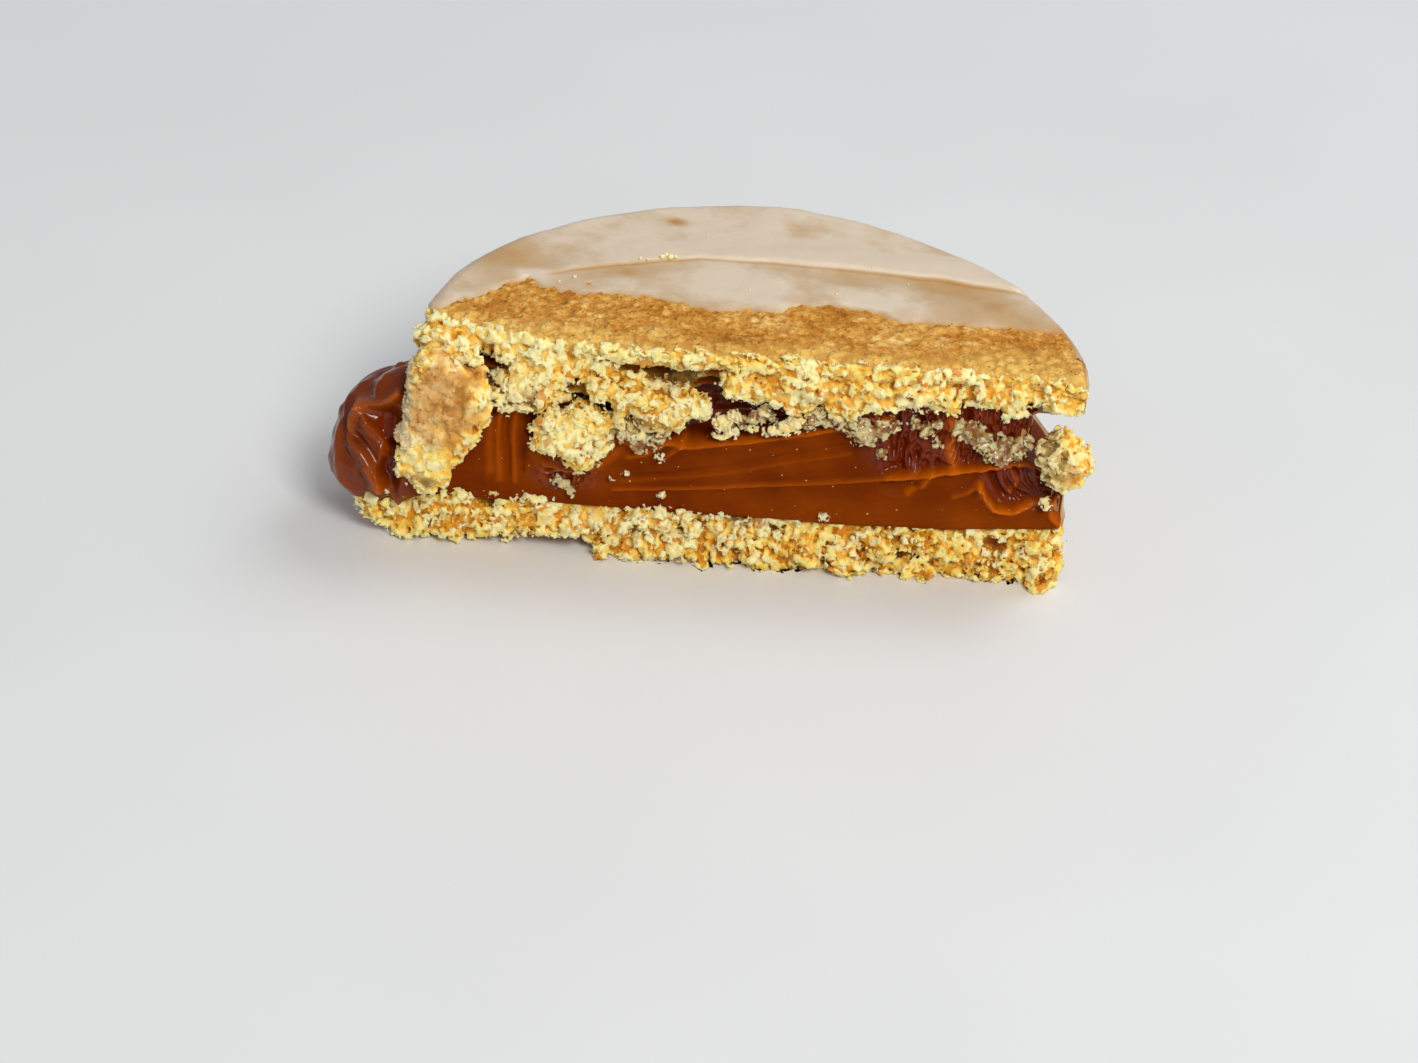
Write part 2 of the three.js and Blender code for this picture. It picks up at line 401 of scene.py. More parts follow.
def clouds_of(size):
    """A clouds texture to roughen a surface with, with features of the given size in millimetres."""
    texture = bpy.data.textures.new(f"clouds {size}", "CLOUDS")
    texture.noise_scale = size * MM
    return texture


def ride_root(obj, slot, *nodes):
    """Hands a finished piece over to the frame, if it doesn't have too many triangles."""
    count = sum(len(face.vertices) - 2 for face in obj.data.polygons)
    if count > MOST_TRIANGLES:
        raise RuntimeError(f"{obj.name} has {count} triangles, more than {MOST_TRIANGLES}")
    only(obj)
    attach(obj, "root")
    if nodes:
        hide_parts(*nodes)


# Materials -------------------------------------------------------------------------------------------


def rgba(colour):
    """A colour, given as an sRGB hex string or as linear red, green and blue, with an alpha of 1."""
    return (*(linear(colour) if isinstance(colour, str) else colour), 1)


def per_mm(size):
    """The scale of a pattern whose features are this many millimetres wide."""
    return 1 / (size * MM)


def add_node(tree, kind, inputs=(), stops=(), **settings):
    """Adds a node, sets its properties and colour stops, fills or links its inputs, which are given in
    order or by name, and returns its outputs."""
    new = tree.nodes.new(kind)
    for name, value in settings.items():
        setattr(new, name, value)
    if stops:
        elements = new.color_ramp.elements
        elements[0].position, elements[-1].position = stops[0][0], stops[-1][0]
        for place, _ in stops[1:-1]:
            elements.new(place)
        for element, (_, colour) in zip(elements, stops):
            element.color = rgba(colour)
    for socket, value in inputs.items() if isinstance(inputs, dict) else enumerate(inputs):
        if isinstance(value, bpy.types.NodeSocket):
            tree.links.new(value, new.inputs[socket])
        else:
            new.inputs[socket].default_value = value
    return new.outputs


def weighted_sum(tree, *terms):
    """The sum of values, each times its weight."""
    total = 0.0
    for value, weight in terms:
        total = add_node(tree, "ShaderNodeMath", (value, weight, total), operation="MULTIPLY_ADD")[0]
    return total


def laid_over(tree, colour, *layers):
    """The colour with others laid over it in turn, each by its own share."""
    for share, other in layers:
        second = other if isinstance(other, bpy.types.NodeSocket) else rgba(other)
        colour = add_node(tree, "ShaderNodeMix", {"Factor": share, 6: colour, 7: second}, data_type="RGBA")[2]
    return colour


def granule_cells(tree, place, size):
    """Cells of the given size in millimetres: the distance from a cell's middle, and its three draws."""
    cells = add_node(tree, "ShaderNodeTexVoronoi", {"Vector": place, "Scale": per_mm(size)})
    return cells["Distance"], add_node(tree, "ShaderNodeSeparateXYZ", (cells["Color"],))


def warped_place(tree, place):
    """Places pushed about by noise, so that the cells around them are irregular."""
    node = partial(add_node, tree)
    push = node("ShaderNodeTexNoise", {"Vector": place, "Scale": per_mm(0.75), "Detail": 2})["Color"]
    centred = node("ShaderNodeVectorMath", (push, (0.5, 0.5, 0.5)), operation="SUBTRACT")[0]
    scaled = node("ShaderNodeVectorMath", (centred, (1.1 * MM,) * 3), operation="MULTIPLY")[0]
    return node("ShaderNodeVectorMath", (place, scaled), operation="ADD")[0]


def new_material(name, shares, **constants):
    """A material whose Principled shader has the given constants: its tree, a way to add nodes to it, the
    places on the object that its patterns read, and the shares that the modelling kept for each vertex."""
    material = bpy.data.materials.new(name)
    material.use_nodes = True
    tree = material.node_tree
    shader = tree.nodes["Principled BSDF"]
    for socket, value in constants.items():
        shader.inputs[socket.replace("_", " ")].default_value = value
    node = partial(add_node, tree)
    kept = [node("ShaderNodeAttribute", attribute_name=share + "_share")["Fac"] for share in shares.split()]
    return tree, node, node("ShaderNodeTexCoord")["Object"], *kept


def finish_material(tree, colour, bump_height=None, strength=0.0, distance=0.0, **sockets):
    """Links a material's colour, its bumps of the given height in millimetres, and other sockets."""
    shader = tree.nodes["Principled BSDF"]
    tree.links.new(colour, shader.inputs["Base Color"])
    if bump_height:
        bump = {"Height": bump_height, "Strength": strength, "Distance": distance * MM}
        tree.links.new(add_node(tree, "ShaderNodeBump", bump)["Normal"], shader.inputs["Normal"])
    for socket, value in sockets.items():
        tree.links.new(value, shader.inputs[socket.replace("_", " ")])


CRUMB = "shortbread crumb, broken"
SOAKED_CRUMB = "shortbread crumb, soaked"
CRUST = "shortbread crust, baked"
CARAMEL = "dulce de leche, cut"
SUGAR_ICING = "sugar icing, set"
LAMINATE = "laminate table top, matt"


def crumb_material(settings):
    """Baked shortbread crumb, broken open: pale yellow granules of flour and sugar stuck together with
    butter, and toasted bits. Painted light makes the granules' tips cream, and painted shade makes the
    hollows between them golden brown."""
    tree, node, place, tone, rise, hollow, toast, soak, skin = new_material(
        CRUMB,
        "tone rise hollow toast soak skin",
        IOR=1.45,
        Specular_IOR_Level=0.2,
        Subsurface_Weight=0.8,
        Subsurface_Scale=0.7 * MM,
        Subsurface_Radius=(1.0, 0.85, 0.6),
    )
    warped = warped_place(tree, place)
    _, draws = granule_cells(tree, warped, settings.granule_size / MM)
    _, fine_draws = granule_cells(tree, warped, settings.grain_size / MM)
    patches = node(
        "ShaderNodeTexNoise", {"Vector": place, "Scale": per_mm(3.5), "Detail": 4, "Roughness": 0.6}
    )["Fac"]
    # Painted light and shade: the granules' height lightens their tips and darkens the pits between them, and
    # the face is darkened with painted shade where it lies back in hollows.
    lightness = weighted_sum(
        tree,
        (tone, 0.2),
        (rise, 0.55),
        (hollow, -0.3),
        (draws[2], 0.16),
        (fine_draws[2], 0.06),
        (patches, 0.8),
    )
    spread = node("ShaderNodeMapRange", (lightness, 0.22, 1.1))[0]
    # The stops run from painted shade in the hollows to painted light on the tips, mixed with the crumb's own
    # tone.
    by_depth = (
        (0.0, settings.crumb_hollows),
        (0.36, settings.crumb_middle),
        (0.72, settings.crumb_pale),
        (1.0, settings.crumb_tips),
    )
    by_toasting = (0.32, "#B4772C"), (0.45, "#CF9A55"), (0.58, "#E2BC7E"), (0.7, "#DAA37C")
    by_wetness = (0.1, "#5E4418"), (0.35, "#8E743C"), (0.6, "#BEA264"), (0.9, "#EEDDA6")
    # Painted shade: small dark-brown pits, with no hole in the surface under them.
    pit, pit_draws = granule_cells(tree, place, 1.0)
    pit_reach = weighted_sum(tree, (pit_draws[1], 0.3), (1.0, -0.12))
    pit_shade = node("ShaderNodeMath", (pit, pit_reach), operation="LESS_THAN")[0]
    colour = laid_over(
        tree,
        node("ShaderNodeValToRGB", (spread,), by_depth)[0],
        (node("ShaderNodeMapRange", (draws[0], 0.965, 0.99, 0, 0.9))[0], settings.crumb_flecks),
        (toast, node("ShaderNodeValToRGB", (patches,), by_toasting)[0]),
        (soak, node("ShaderNodeValToRGB", (spread,), by_wetness)[0]),
        (skin, "#E2CFA6"),
        (weighted_sum(tree, (pit_shade, 0.4)), "#8A5A14"),
    )
    grit = node("ShaderNodeTexNoise", {"Vector": place, "Scale": per_mm(0.3), "Detail": 3})["Fac"]
    roughness = node("ShaderNodeMapRange", (grit, 0, 1, 0.4, 0.75))[0]
    finish_material(tree, colour, grit, 0.5, 0.12, Roughness=roughness)


def soaked_material():
    """Shortbread crumbs wetted by the filling: the granules turn glassy, greyish yellow and brown."""
    tree, node, place, rise = new_material(
        SOAKED_CRUMB,
        "rise",
        IOR=1.45,
        Roughness=0.35,
        Subsurface_Weight=0.8,
        Subsurface_Scale=1.2 * MM,
        Subsurface_Radius=(1.0, 0.7, 0.4),
        Coat_Weight=0.8,
        Coat_Roughness=0.1,
    )
    patches = node("ShaderNodeTexNoise", {"Vector": place, "Scale": per_mm(1.4), "Detail": 4})["Fac"]
    # Painted light and shade: the granules' tips are lighter and the pits between them darker.
    lightness = weighted_sum(tree, (patches, 1.0), (rise, 0.55))
    by_depth = (0.5, "#6E2E04"), (0.74, "#8E5826"), (0.9, "#A88850"), (1.0, "#CEBC8C")
    colour = node("ShaderNodeValToRGB", (lightness,), by_depth)[0]
    finish_material(tree, colour, patches, 0.3, 0.2)


def crust_material(settings):
    """The baked outside of the shortbread: golden brown, finely pitted, paler towards the broken edge."""
    tree, node, place, edge = new_material(
        CRUST,
        "edge",
        IOR=1.45,
        Specular_IOR_Level=0.15,
        Subsurface_Weight=0.12,
        Subsurface_Scale=0.6 * MM,
        Subsurface_Radius=(1.0, 0.55, 0.2),
    )
    clouds = node(
        "ShaderNodeTexNoise", {"Vector": place, "Scale": per_mm(5), "Detail": 7, "Roughness": 0.65}
    )["Fac"]
    grain = node(
        "ShaderNodeTexNoise", {"Vector": place, "Scale": per_mm(0.7), "Detail": 4, "Roughness": 0.7}
    )["Fac"]
    browning = weighted_sum(tree, (grain, 1.0), (clouds, 1.4))
    browning = node("ShaderNodeMapRange", (browning, 0.9, 1.5))[0]
    by_browning = (0.0, settings.crust_dark), (0.5, settings.crust_baked), (1.0, settings.crust_pale)
    grains, _ = granule_cells(tree, warped_place(tree, place), 1.15)
    # Painted shade: darker brown between the crust's grains, where the bump also dips.
    between = node("ShaderNodeMapRange", (grains, 0.3, 0.7, 0, 0.5))[0]
    # Painted shade: the crust's pits are coloured darker where the bump dips into them.
    pits, _ = granule_cells(tree, place, 1.3)
    pit_shade = node("ShaderNodeMapRange", (pits, 0.16, 0.04, 0, 0.6))[0]
    colour = laid_over(
        tree,
        node("ShaderNodeValToRGB", (browning,), by_browning)[0],
        (edge, "#F0C668"),
        (between, "#AC6410"),
        (pit_shade, "#7E4A16"),
    )
    height = weighted_sum(tree, (grain, 1.0), (pit_shade, -0.9), (between, -1.4))
    roughness = node("ShaderNodeMapRange", (grain, 0, 1, 0.5, 0.75))[0]
    finish_material(tree, colour, height, 0.8, 0.3, Roughness=roughness)


def filling_material(settings):
    """Dulce de leche, milk and sugar boiled to a thick paste and cut by a knife: a deep caramel brown,
    redder and glossier where it is torn, almost matt where the knife passed, with tiny sugar crystals."""
    tree, node, place, torn, ridge, gloss = new_material(
        CARAMEL,
        "torn ridge gloss",
        IOR=1.45,
        Specular_IOR_Level=0.03,
        Subsurface_Weight=0.2,
        Subsurface_Scale=1.4 * MM,
        Subsurface_Radius=(1.0, 0.3, 0.05),
        Coat_Roughness=0.12,
    )
    clouds = node(
        "ShaderNodeTexNoise", {"Vector": place, "Scale": per_mm(7), "Detail": 4, "Roughness": 0.55}
    )["Fac"]
    by_cloud = (0.3, settings.caramel_dark), (0.5, settings.caramel), (0.7, settings.caramel_light)
    colour = node("ShaderNodeValToRGB", (clouds,), by_cloud)[0]
    # Painted light: the ridge share colours the knife's ridges and the folds a brighter orange, as where
    # light catches and shines through them.
    colour = laid_over(tree, colour, (torn, settings.torn), (ridge, settings.ridges))
    streaks = node("ShaderNodeTexNoise", {"Vector": place, "Scale": per_mm(1.2), "Detail": 4})["Fac"]
    roughness = node("ShaderNodeMapRange", (streaks, 0, 1, 0.25, 0.5))[0]
    coat = node("ShaderNodeMapRange", (gloss, 0, 1, 0, 0.55))[0]
    finish_material(tree, colour, streaks, 0.2, 0.2, Roughness=roughness, Coat_Weight=coat)


def icing_material(settings):
    """Sugar icing, poured and set: a thin milky glaze. Where it lies thick it is off-white, and where it
    is thin the toasted crust shows through as beige."""
    tree, node, place, thick = new_material(
        SUGAR_ICING,
        "thick",
        IOR=1.46,
        Subsurface_Weight=0.25,
        Subsurface_Scale=1.2 * MM,
        Subsurface_Radius=(1.0, 0.8, 0.6),
        Coat_Weight=0.15,
        Coat_Roughness=0.3,
    )
    clouds = node(
        "ShaderNodeTexNoise", {"Vector": place, "Scale": per_mm(9), "Detail": 6, "Roughness": 0.6}
    )["Fac"]
    mottles = node(
        "ShaderNodeTexNoise", {"Vector": place, "Scale": per_mm(2.6), "Detail": 5, "Roughness": 0.6}
    )["Fac"]
    cover = weighted_sum(tree, (thick, 1.0), (clouds, 0.7), (mottles, 0.5))
    cover = node("ShaderNodeMapRange", (cover, 0.6, 1.4))[0]
    by_cover = (0.0, settings.sheerest), (0.35, settings.thin), (0.7, settings.milky), (1.0, settings.thick)
    colour = node("ShaderNodeValToRGB", (cover,), by_cover)[0]
    ripples = node("ShaderNodeTexNoise", {"Vector": place, "Scale": per_mm(2.2), "Detail": 3})["Fac"]
    roughness = node("ShaderNodeMapRange", (ripples, 0, 1, 0.3, 0.5))[0]
    finish_material(tree, colour, ripples, 0.25, 0.25, Roughness=roughness)


def table_material(settings):
    """A plain matt laminate table top: pale grey with hardly any texture."""
    tree, node, place = new_material(LAMINATE, "", Roughness=0.42)
    clouds = node("ShaderNodeTexNoise", {"Vector": place, "Scale": per_mm(60), "Detail": 2})["Fac"]
    darker = tuple(0.96 * value for value in settings.table_colour)
    by_cloud = (0.3, darker), (0.7, settings.table_colour)
    finish_material(tree, node("ShaderNodeValToRGB", (clouds,), by_cloud)[0])


# Pieces ----------------------------------------------------------------------------------------------


def hollow_depth(points, hollows):
    """How deep the face is dug at each point, by the deepest of the hollows there."""
    depth = np.zeros(len(points))
    uneven = 0.4 * waves(points * (1, 0, 1), 1.4, 41)
    for x, z, half_width, half_height, deepest in hollows:
        reach = np.hypot((points[:, 0] - x) / half_width, (points[:, 2] - z) / half_height) + uneven
        depth = np.maximum(depth, deepest * fade(reach, 0.55, 1.25))
    return depth


def crumb_front(x, z):
    """Where the upper biscuit's crumb begins behind the cut: at the left it slopes back under the crust."""
    edge = along(CRUST_EDGE, x)
    return np.minimum(edge, 0.4) + np.maximum(edge - 0.4, 0) * smooth(z, 21.6, 25.4)


def face_lumps(shapes, low, high, left, right, hollows, spacing, rng):
    """Lumps packed over a broken face between two outlines, leaving out the hollows."""
    lumps = []
    x = left
    while x < right:
        z = along(low, x) + spacing * 0.4
        top = along(high, x)
        while z < top - spacing * 0.25:
            lump_x = x + rng.uniform(-0.5, 0.5) * spacing
            lump_z = z + rng.uniform(-0.4, 0.4) * spacing
            size = spacing * rng.uniform(0.35, 0.85)
            lump_z = min(lump_z, top - size * 0.9)
            if hollow_depth(np.array([[lump_x, 0, lump_z]]), hollows)[0] < 0.4:
                depth = size * 0.75 + 0.25 + rng.uniform(-0.8, 0.9)
                place = (lump_x, crumb_front(lump_x, z) + depth, lump_z)
                lumps.append(copy_lump(rng.choice(shapes), place, size, rng))
            z += spacing * rng.uniform(0.75, 1.1)
        x += spacing * rng.uniform(0.7, 0.95)
    return lumps


def granule_sizes(settings):
    """The sizes of the coarse and the fine granules in millimetres."""
    return settings.granule_size / MM, settings.grain_size / MM


def new_group(name):
    """A node group that takes a geometry and gives one back, a way to add nodes to it, and its input."""
    tree = bpy.data.node_groups.new(name, "GeometryNodeTree")
    for way in ("INPUT", "OUTPUT"):
        tree.interface.new_socket("Geometry", in_out=way, socket_type="NodeSocketGeometry")
    return tree, partial(add_node, tree), add_node(tree, "NodeGroupInput")[0]


def crumb_tree(low, high, cell, back, sizes, sunk=0.4, stand=1.0, holes=1.0, more_left=0.0):
    """A node group that turns a smooth closed shape into fused granules of a coarse and a fine size.

    It fills a volume with how deep each point lies inside, in millimetres: inside the shape sunk a little,
    or inside granules that stand out of it by different heights. Small holes are taken away again, and
    behind the given depth from the cut there is nothing.
    """
    tree, node, shape = new_group("fused granules")
    place = node("GeometryNodeInputPosition")[0]
    nearest = node("GeometryNodeProximity", (shape,))
    normal = node("GeometryNodeInputNormal")[0]
    facing = node("GeometryNodeSampleNearestSurface", (shape, normal), data_type="FLOAT_VECTOR")[0]
    away = node("ShaderNodeVectorMath", (place, nearest["Position"]), operation="SUBTRACT")[0]
    side = node("ShaderNodeVectorMath", (away, facing), operation="DOT_PRODUCT")["Value"]
    outward = node("ShaderNodeMath", (side,), operation="SIGN")[0]
    distance = node("ShaderNodeMath", (outward, nearest["Distance"]), operation="MULTIPLY")[0]
    inside = node("ShaderNodeMath", (distance, -1 / MM), operation="MULTIPLY")[0]
    smooth_depth = depth = node("ShaderNodeMath", (inside, sunk), operation="SUBTRACT")[0]

    warped = warped_place(tree, place)
    coarse, fine = sizes
    for size, most, lift, below in ((coarse, 0.8, -0.2, inside), (fine, 0.32, 0.0, None)):
        distance, draws = granule_cells(tree, warped, size)
        radius = node("ShaderNodeMath", (draws[0], 0.35, 0.32), operation="MULTIPLY_ADD")[0]
        within = node("ShaderNodeMath", (radius, distance), operation="SUBTRACT")[0]
        within = node("ShaderNodeMath", (within, size), operation="MULTIPLY")[0]
        lifted = node("ShaderNodeMath", (draws[1], most * stand, lift), operation="MULTIPLY_ADD")[0]
        cap = node("ShaderNodeMath", (lifted, below or depth), operation="ADD")[0]
        granule = node("ShaderNodeMath", (within, cap), operation="MINIMUM")[0]
        depth = node("ShaderNodeMath", (depth, granule), operation="MAXIMUM")[0]

    hole_spacing = 2.3
    distance, draws = granule_cells(tree, warped, hole_spacing)
    radius = (draws[2], 2.09 * holes, -1.425 * holes)
    hole_radius = node("ShaderNodeMath", radius, operation="MULTIPLY_ADD")[0]
    from_hole = weighted_sum(tree, (hole_radius, -1), (distance, hole_spacing))
    depth = node("ShaderNodeMath", (depth, from_hole), operation="MINIMUM")[0]

    across, behind, _ = node("ShaderNodeSeparateXYZ", (place,))
    deeper = node("ShaderNodeMapRange", (across, at(-22, 0, 0).x, at(-35, 0, 0).x, 0, more_left))[0]
    behind = node("ShaderNodeMath", (behind, 1 / MM, -CUT_MIDDLE.y / MM), operation="MULTIPLY_ADD")[0]
    behind = node("ShaderNodeMath", (behind, deeper), operation="SUBTRACT")[0]
    calm = node("ShaderNodeMapRange", (behind, back - 2.4, back - 1.4))[0]
    depth = node("ShaderNodeMix", {"Factor": calm, 2: depth, 3: smooth_depth}, data_type="FLOAT")[0]
    ending = node("ShaderNodeMath", (back, behind), operation="SUBTRACT")[0]
    depth = node("ShaderNodeMath", (depth, ending), operation="MINIMUM")[0]

    steps = [max(2, round((b - a) / (cell * MM)) + 1) for a, b in zip(low, high)]
    density = node("ShaderNodeMath", (depth, 1.0), operation="ADD")[0]
    filled = {"Density": density, "Min": low, "Max": high}
    filled.update(zip(("Resolution X", "Resolution Y", "Resolution Z"), steps))
    volume = node("GeometryNodeVolumeCube", filled)[0]
    surface = node("GeometryNodeVolumeToMesh", {"Volume": volume, "Threshold": 1.0, "Adaptivity": 0.2})[0]
    kept = {"Geometry": surface, "Name": "inside", "Value": inside}
    kept = node("GeometryNodeStoreNamedAttribute", kept, data_type="FLOAT", domain="POINT")[0]
    node("NodeGroupOutput", (kept,))
    return tree


def recess(points, step=0.5):
    """How far each point lies behind the broken face around it, in millimetres."""
    places = ((points[:, (0, 2)] - points[:, (0, 2)].min(0)) / step).astype(int)
    columns, rows = places.T
    front = np.full((columns.max() + 1, rows.max() + 1), 6.0)
    np.minimum.at(front, (columns, rows), points[:, 1])
    for _ in range(4):
        padded = np.pad(front, 1, mode="edge")
        front = (front * 2 + padded[2:, 1:-1] + padded[:-2, 1:-1] + padded[1:-1, 2:] + padded[1:-1, :-2]) / 6
    return points[:, 1] - front[columns, rows]


def granulate(obj, sizes, cell=CUT_CELL, back=CRUMB_DEPTH, material=CRUMB, **shaping):
    """Turns a smooth shape into fused granules, and gives it the shares that its material reads."""
    points = points_of(obj)
    low = at(*(points.min(0) - 1.2))
    high = at(*(np.minimum(points.max(0), (1e9, back + shaping.get("more_left", 0), 1e9)) + 1.2))
    finish_with(obj, "NODES", node_group=crumb_tree(low, high, cell, back, sizes, **shaping))
    obj.vertex_groups.clear()
    finish_with(obj, "SMOOTH", factor=0.5, iterations=1)
    points = points_of(obj)
    inside = np.empty(len(points), dtype=np.float32)
    obj.data.attributes["inside"].data.foreach_get("value", inside)
    soaked = sum(ellipse(points, *spot) for spot in SOAKED_SPOTS)
    bright = sum(ellipse(points, *spot) for spot in BRIGHT_SPOTS)
    # Painted shade: the lower crumb is darkened from the middle to the right, below the filling.
    darker = 0.35 * smooth(points[:, 0], -14, 8) * fade(points[:, 2], 7, 9)
    # Painted light and shade: 1 on the granules' tips, which are coloured as lit, down to 0 in the pits
    # between them, which are coloured as shaded.
    set_share(obj, "rise", smooth(-inside, -0.55, 0.4))
    # Painted shade: the crumb is coloured darker the further it lies back behind the face around it.
    set_share(obj, "hollow", smooth(recess(points), 0.3, 2.2))
    set_share(obj, "soak", np.clip(soaked * (0.85 + 0.6 * waves(points, 1.5, 31)), 0, 0.95))
    set_share(obj, "tone", np.clip(bright, 0, 1) - darker)
    set_share(obj, "toast", 0)
    set_share(obj, "crumb", 1)
    finish_surface(obj, material)


def crumble(crumb, settings, seed, shapes_seed, face, known=(), **shaping):
    """Packs a broken face with lumps, some of them at known places, and turns it into fused granules."""
    rng = random.Random(settings.seed + seed)
    shapes = lump_shapes(4, shapes_seed)
    lumps = face_lumps(shapes, *face, rng)
    for x, y, z, size in known:
        lumps.append(copy_lump(rng.choice(shapes), (x, y + 0.3, z), size, rng))
    remove(shapes)
    join([crumb, *lumps])
    remesh(crumb, LUMPS_VOXEL)
    granulate(crumb, granule_sizes(settings), holes=0.8, **shaping)


def from_edge(points, outline):
    """How far each point lies behind an outline on the top."""
    return points[:, 1] - along(outline, points[:, 0])


def top_share(z):
    """1 on the upper biscuit's top, and 0 on its sides."""
    return smooth(z, RIM_HEIGHT - 2, RIM_HEIGHT - 0.5)


def dome_height(settings, x, y):
    """How much the top rises towards its middle."""
    return settings.dome / MM * fade(np.hypot(x, y - 4), 10, RADIUS)


def keep_within(points, radius):
    """Brings the points that were pushed out over the disc's rim back to it."""
    points[:, :2] /= np.maximum(np.hypot(points[:, 0], points[:, 1]) / radius, 1)[:, None]


def swell(points):
    """Widens the upper disc's round side where the real one spread in baking."""
    x, y, z = points.T
    radial = np.maximum(np.hypot(x, y), 1)
    middle = ellipse(points * (1, 1, 0), 3, 0, 10, 1, 0.6)
    widest = 0.45 * smooth(x, -8, 2) + 0.4 * middle + 0.6 * smooth(-x, 20, 30)
    share = smooth(radial, RADIUS - 8, RADIUS - 1) * smooth(z, 16, 19) * smooth(y, 2, 8)
    points[:, :2] *= (1 + widest * share / radial)[:, None]


def upper_shape(settings, name, radius, front):
    """The upper biscuit's smooth shape, with its front face where front says for each point."""
    obj = half_cylinder(name, radius, UPPER_BOTTOM, RIM_HEIGHT, settings.rim_rounding / MM, 0.7)
    remesh(obj, BODY_VOXEL)
    points = points_of(obj)
    x, y, z = points.T
    share = (z - UPPER_BOTTOM) / (RIM_HEIGHT - UPPER_BOTTOM)
    ceiling = along(BISCUIT_CEILING, x)
    points[:, 2] = ceiling + share * (RIM_HEIGHT + dome_height(settings, x, y) - ceiling)
    ragged = 0.5 * waves(points * (1, 0, 0), 2.2, 3)
    points[:, 1] = y + (ragged + front(points)) * fade(y, 0, 9)
    keep_within(points, radius)
    swell(points)
    set_points(obj, points)
    return obj


def upper_slab(settings):
    """The upper biscuit's baked slab, with a grainy strip on top between the icing and the broken edge."""

    def front(points):
        """The slab stands back behind the crumb, except at its top and at its right end."""
        x, _, z = points.T
        set_back = 3.9 * fade(x, 34.1, 34.8) + 0.5 * smooth(x, 32.5, 34)
        return set_back * fade(z, RIM_HEIGHT - 1.2, RIM_HEIGHT - 0.7) + 0.5 + along(CRUST_EDGE, x)

    body = upper_shape(settings, "UpperBiscuit", RADIUS - 0.25, front)
    divide_faces(body, lambda p: (p[:, 1] < 14) & (p[:, 2] > RIM_HEIGHT - 1.5), 1)
    points = points_of(body)
    x, y, z = points.T
    distance, from_icing = from_edge(points, CRUST_EDGE), from_edge(points, ICING_EDGE)
    top = top_share(z)
    z -= 0.6 * fade(distance + 0.8 * waves(points, 1.6, 8), 0.3, 3.2) * top
    set_points(body, points)
    reach = 5.4 + 3.5 * smooth(x, 18, 26)
    paler = fade((distance + 1.2 * waves(points, 1.4, 2)) / reach, 0.15, 1) * top
    right_end = smooth(x, 32.5, 34) * fade(y, 2, 7)
    set_share(body, "edge", np.maximum(0.85 * paler, 0.9 * right_end))
    set_weights(body, "strip", top * fade(from_icing, 0, 2))
    for size, strength in ((1.2, 0.5), (0.45, 0.34)):
        roughen(body, clouds_of(size), strength, 0.55, "strip")
    body.vertex_groups.clear()
    grainy = top * fade(from_icing, -0.5, 1.5)
    set_share(body, "crumb", grainy * (1 - 0.75 * smooth(x + 4 * waves(points, 6, 43), 6, 24)))
    finish_surface(body, CRUST)
    ride_root(body, "iced_shortbread", "upper_biscuit")


def upper_crumb(settings):
    """The upper biscuit's broken crumb, with the slits and hollows that show under the crust."""

    def front(points):
        """The crumb stands back a little under the crust, and further in the hollows."""
        x, _, z = points.T
        under_crust = fade(z, RIM_HEIGHT - 1.3, RIM_HEIGHT - 0.5)
        return 0.25 + 0.9 * under_crust + crumb_front(x, z) + hollow_depth(points, UPPER_HOLLOWS)

    crumb = upper_shape(settings, "UpperCrumb", RADIUS - 0.5, front)
    points = points_of(crumb)
    sunk = 1.1 * smooth(from_edge(points, CRUST_EDGE) + 0.7 * waves(points, 1.5, 9), 0.4, 2.2) - 0.05
    points[:, 2] -= sunk * top_share(points[:, 2])
    set_points(crumb, points)
    crust_bottom = ((0, RIM_HEIGHT - 0.9),)
    face = (BISCUIT_CEILING, crust_bottom, -34.2, 34.6, UPPER_HOLLOWS, 1.9)
    crumble(crumb, settings, 0, 11, face, UPPER_LUMPS, sunk=0.3, more_left=5.0)
    points = points_of(crumb)
    start, room = RIM_HEIGHT + 0.4, 0.55
    over = np.maximum(points[:, 2] - start, 0)
    points[:, 2] = np.minimum(points[:, 2], start) + room * (1 - np.exp(-over / room))
    set_points(crumb, points)
    ride_root(crumb, "iced_shortbread")


def lower_shape(name, radius, front):
    """The lower biscuit's smooth shape with its thin flake at the left."""
    obj = half_cylinder(name, radius, 0, LOWER_TOP, 0.5, 1.3)
    remesh(obj, BODY_VOXEL)
    points = points_of(obj)
    x, y, z = points.T
    low = along(UNDERSIDE, x) * fade(y, 0.5, 3.5)
    points[:, 2] = low + z / LOWER_TOP * (along(FILLING_FLOOR, x) - low)
    ragged = 0.5 * waves(points * (1, 0, 0), 2.6, 5)
    points[:, 2] -= 0.4 * smooth(points[:, 2], 4, 6.5) * fade(y, 1.5, 4) * smooth(x, -22, -18)
    points[:, 1] = y + (ragged + front(points)) * fade(y, 0, 7)
    keep_within(points, radius)
    flake = smooth(-x, 29, 35) * fade(y, 4, 13) * smooth(points[:, 2], 1.4, 4.6)
    points[:, 0] -= 6.0 * flake
    set_points(obj, points)
    return obj


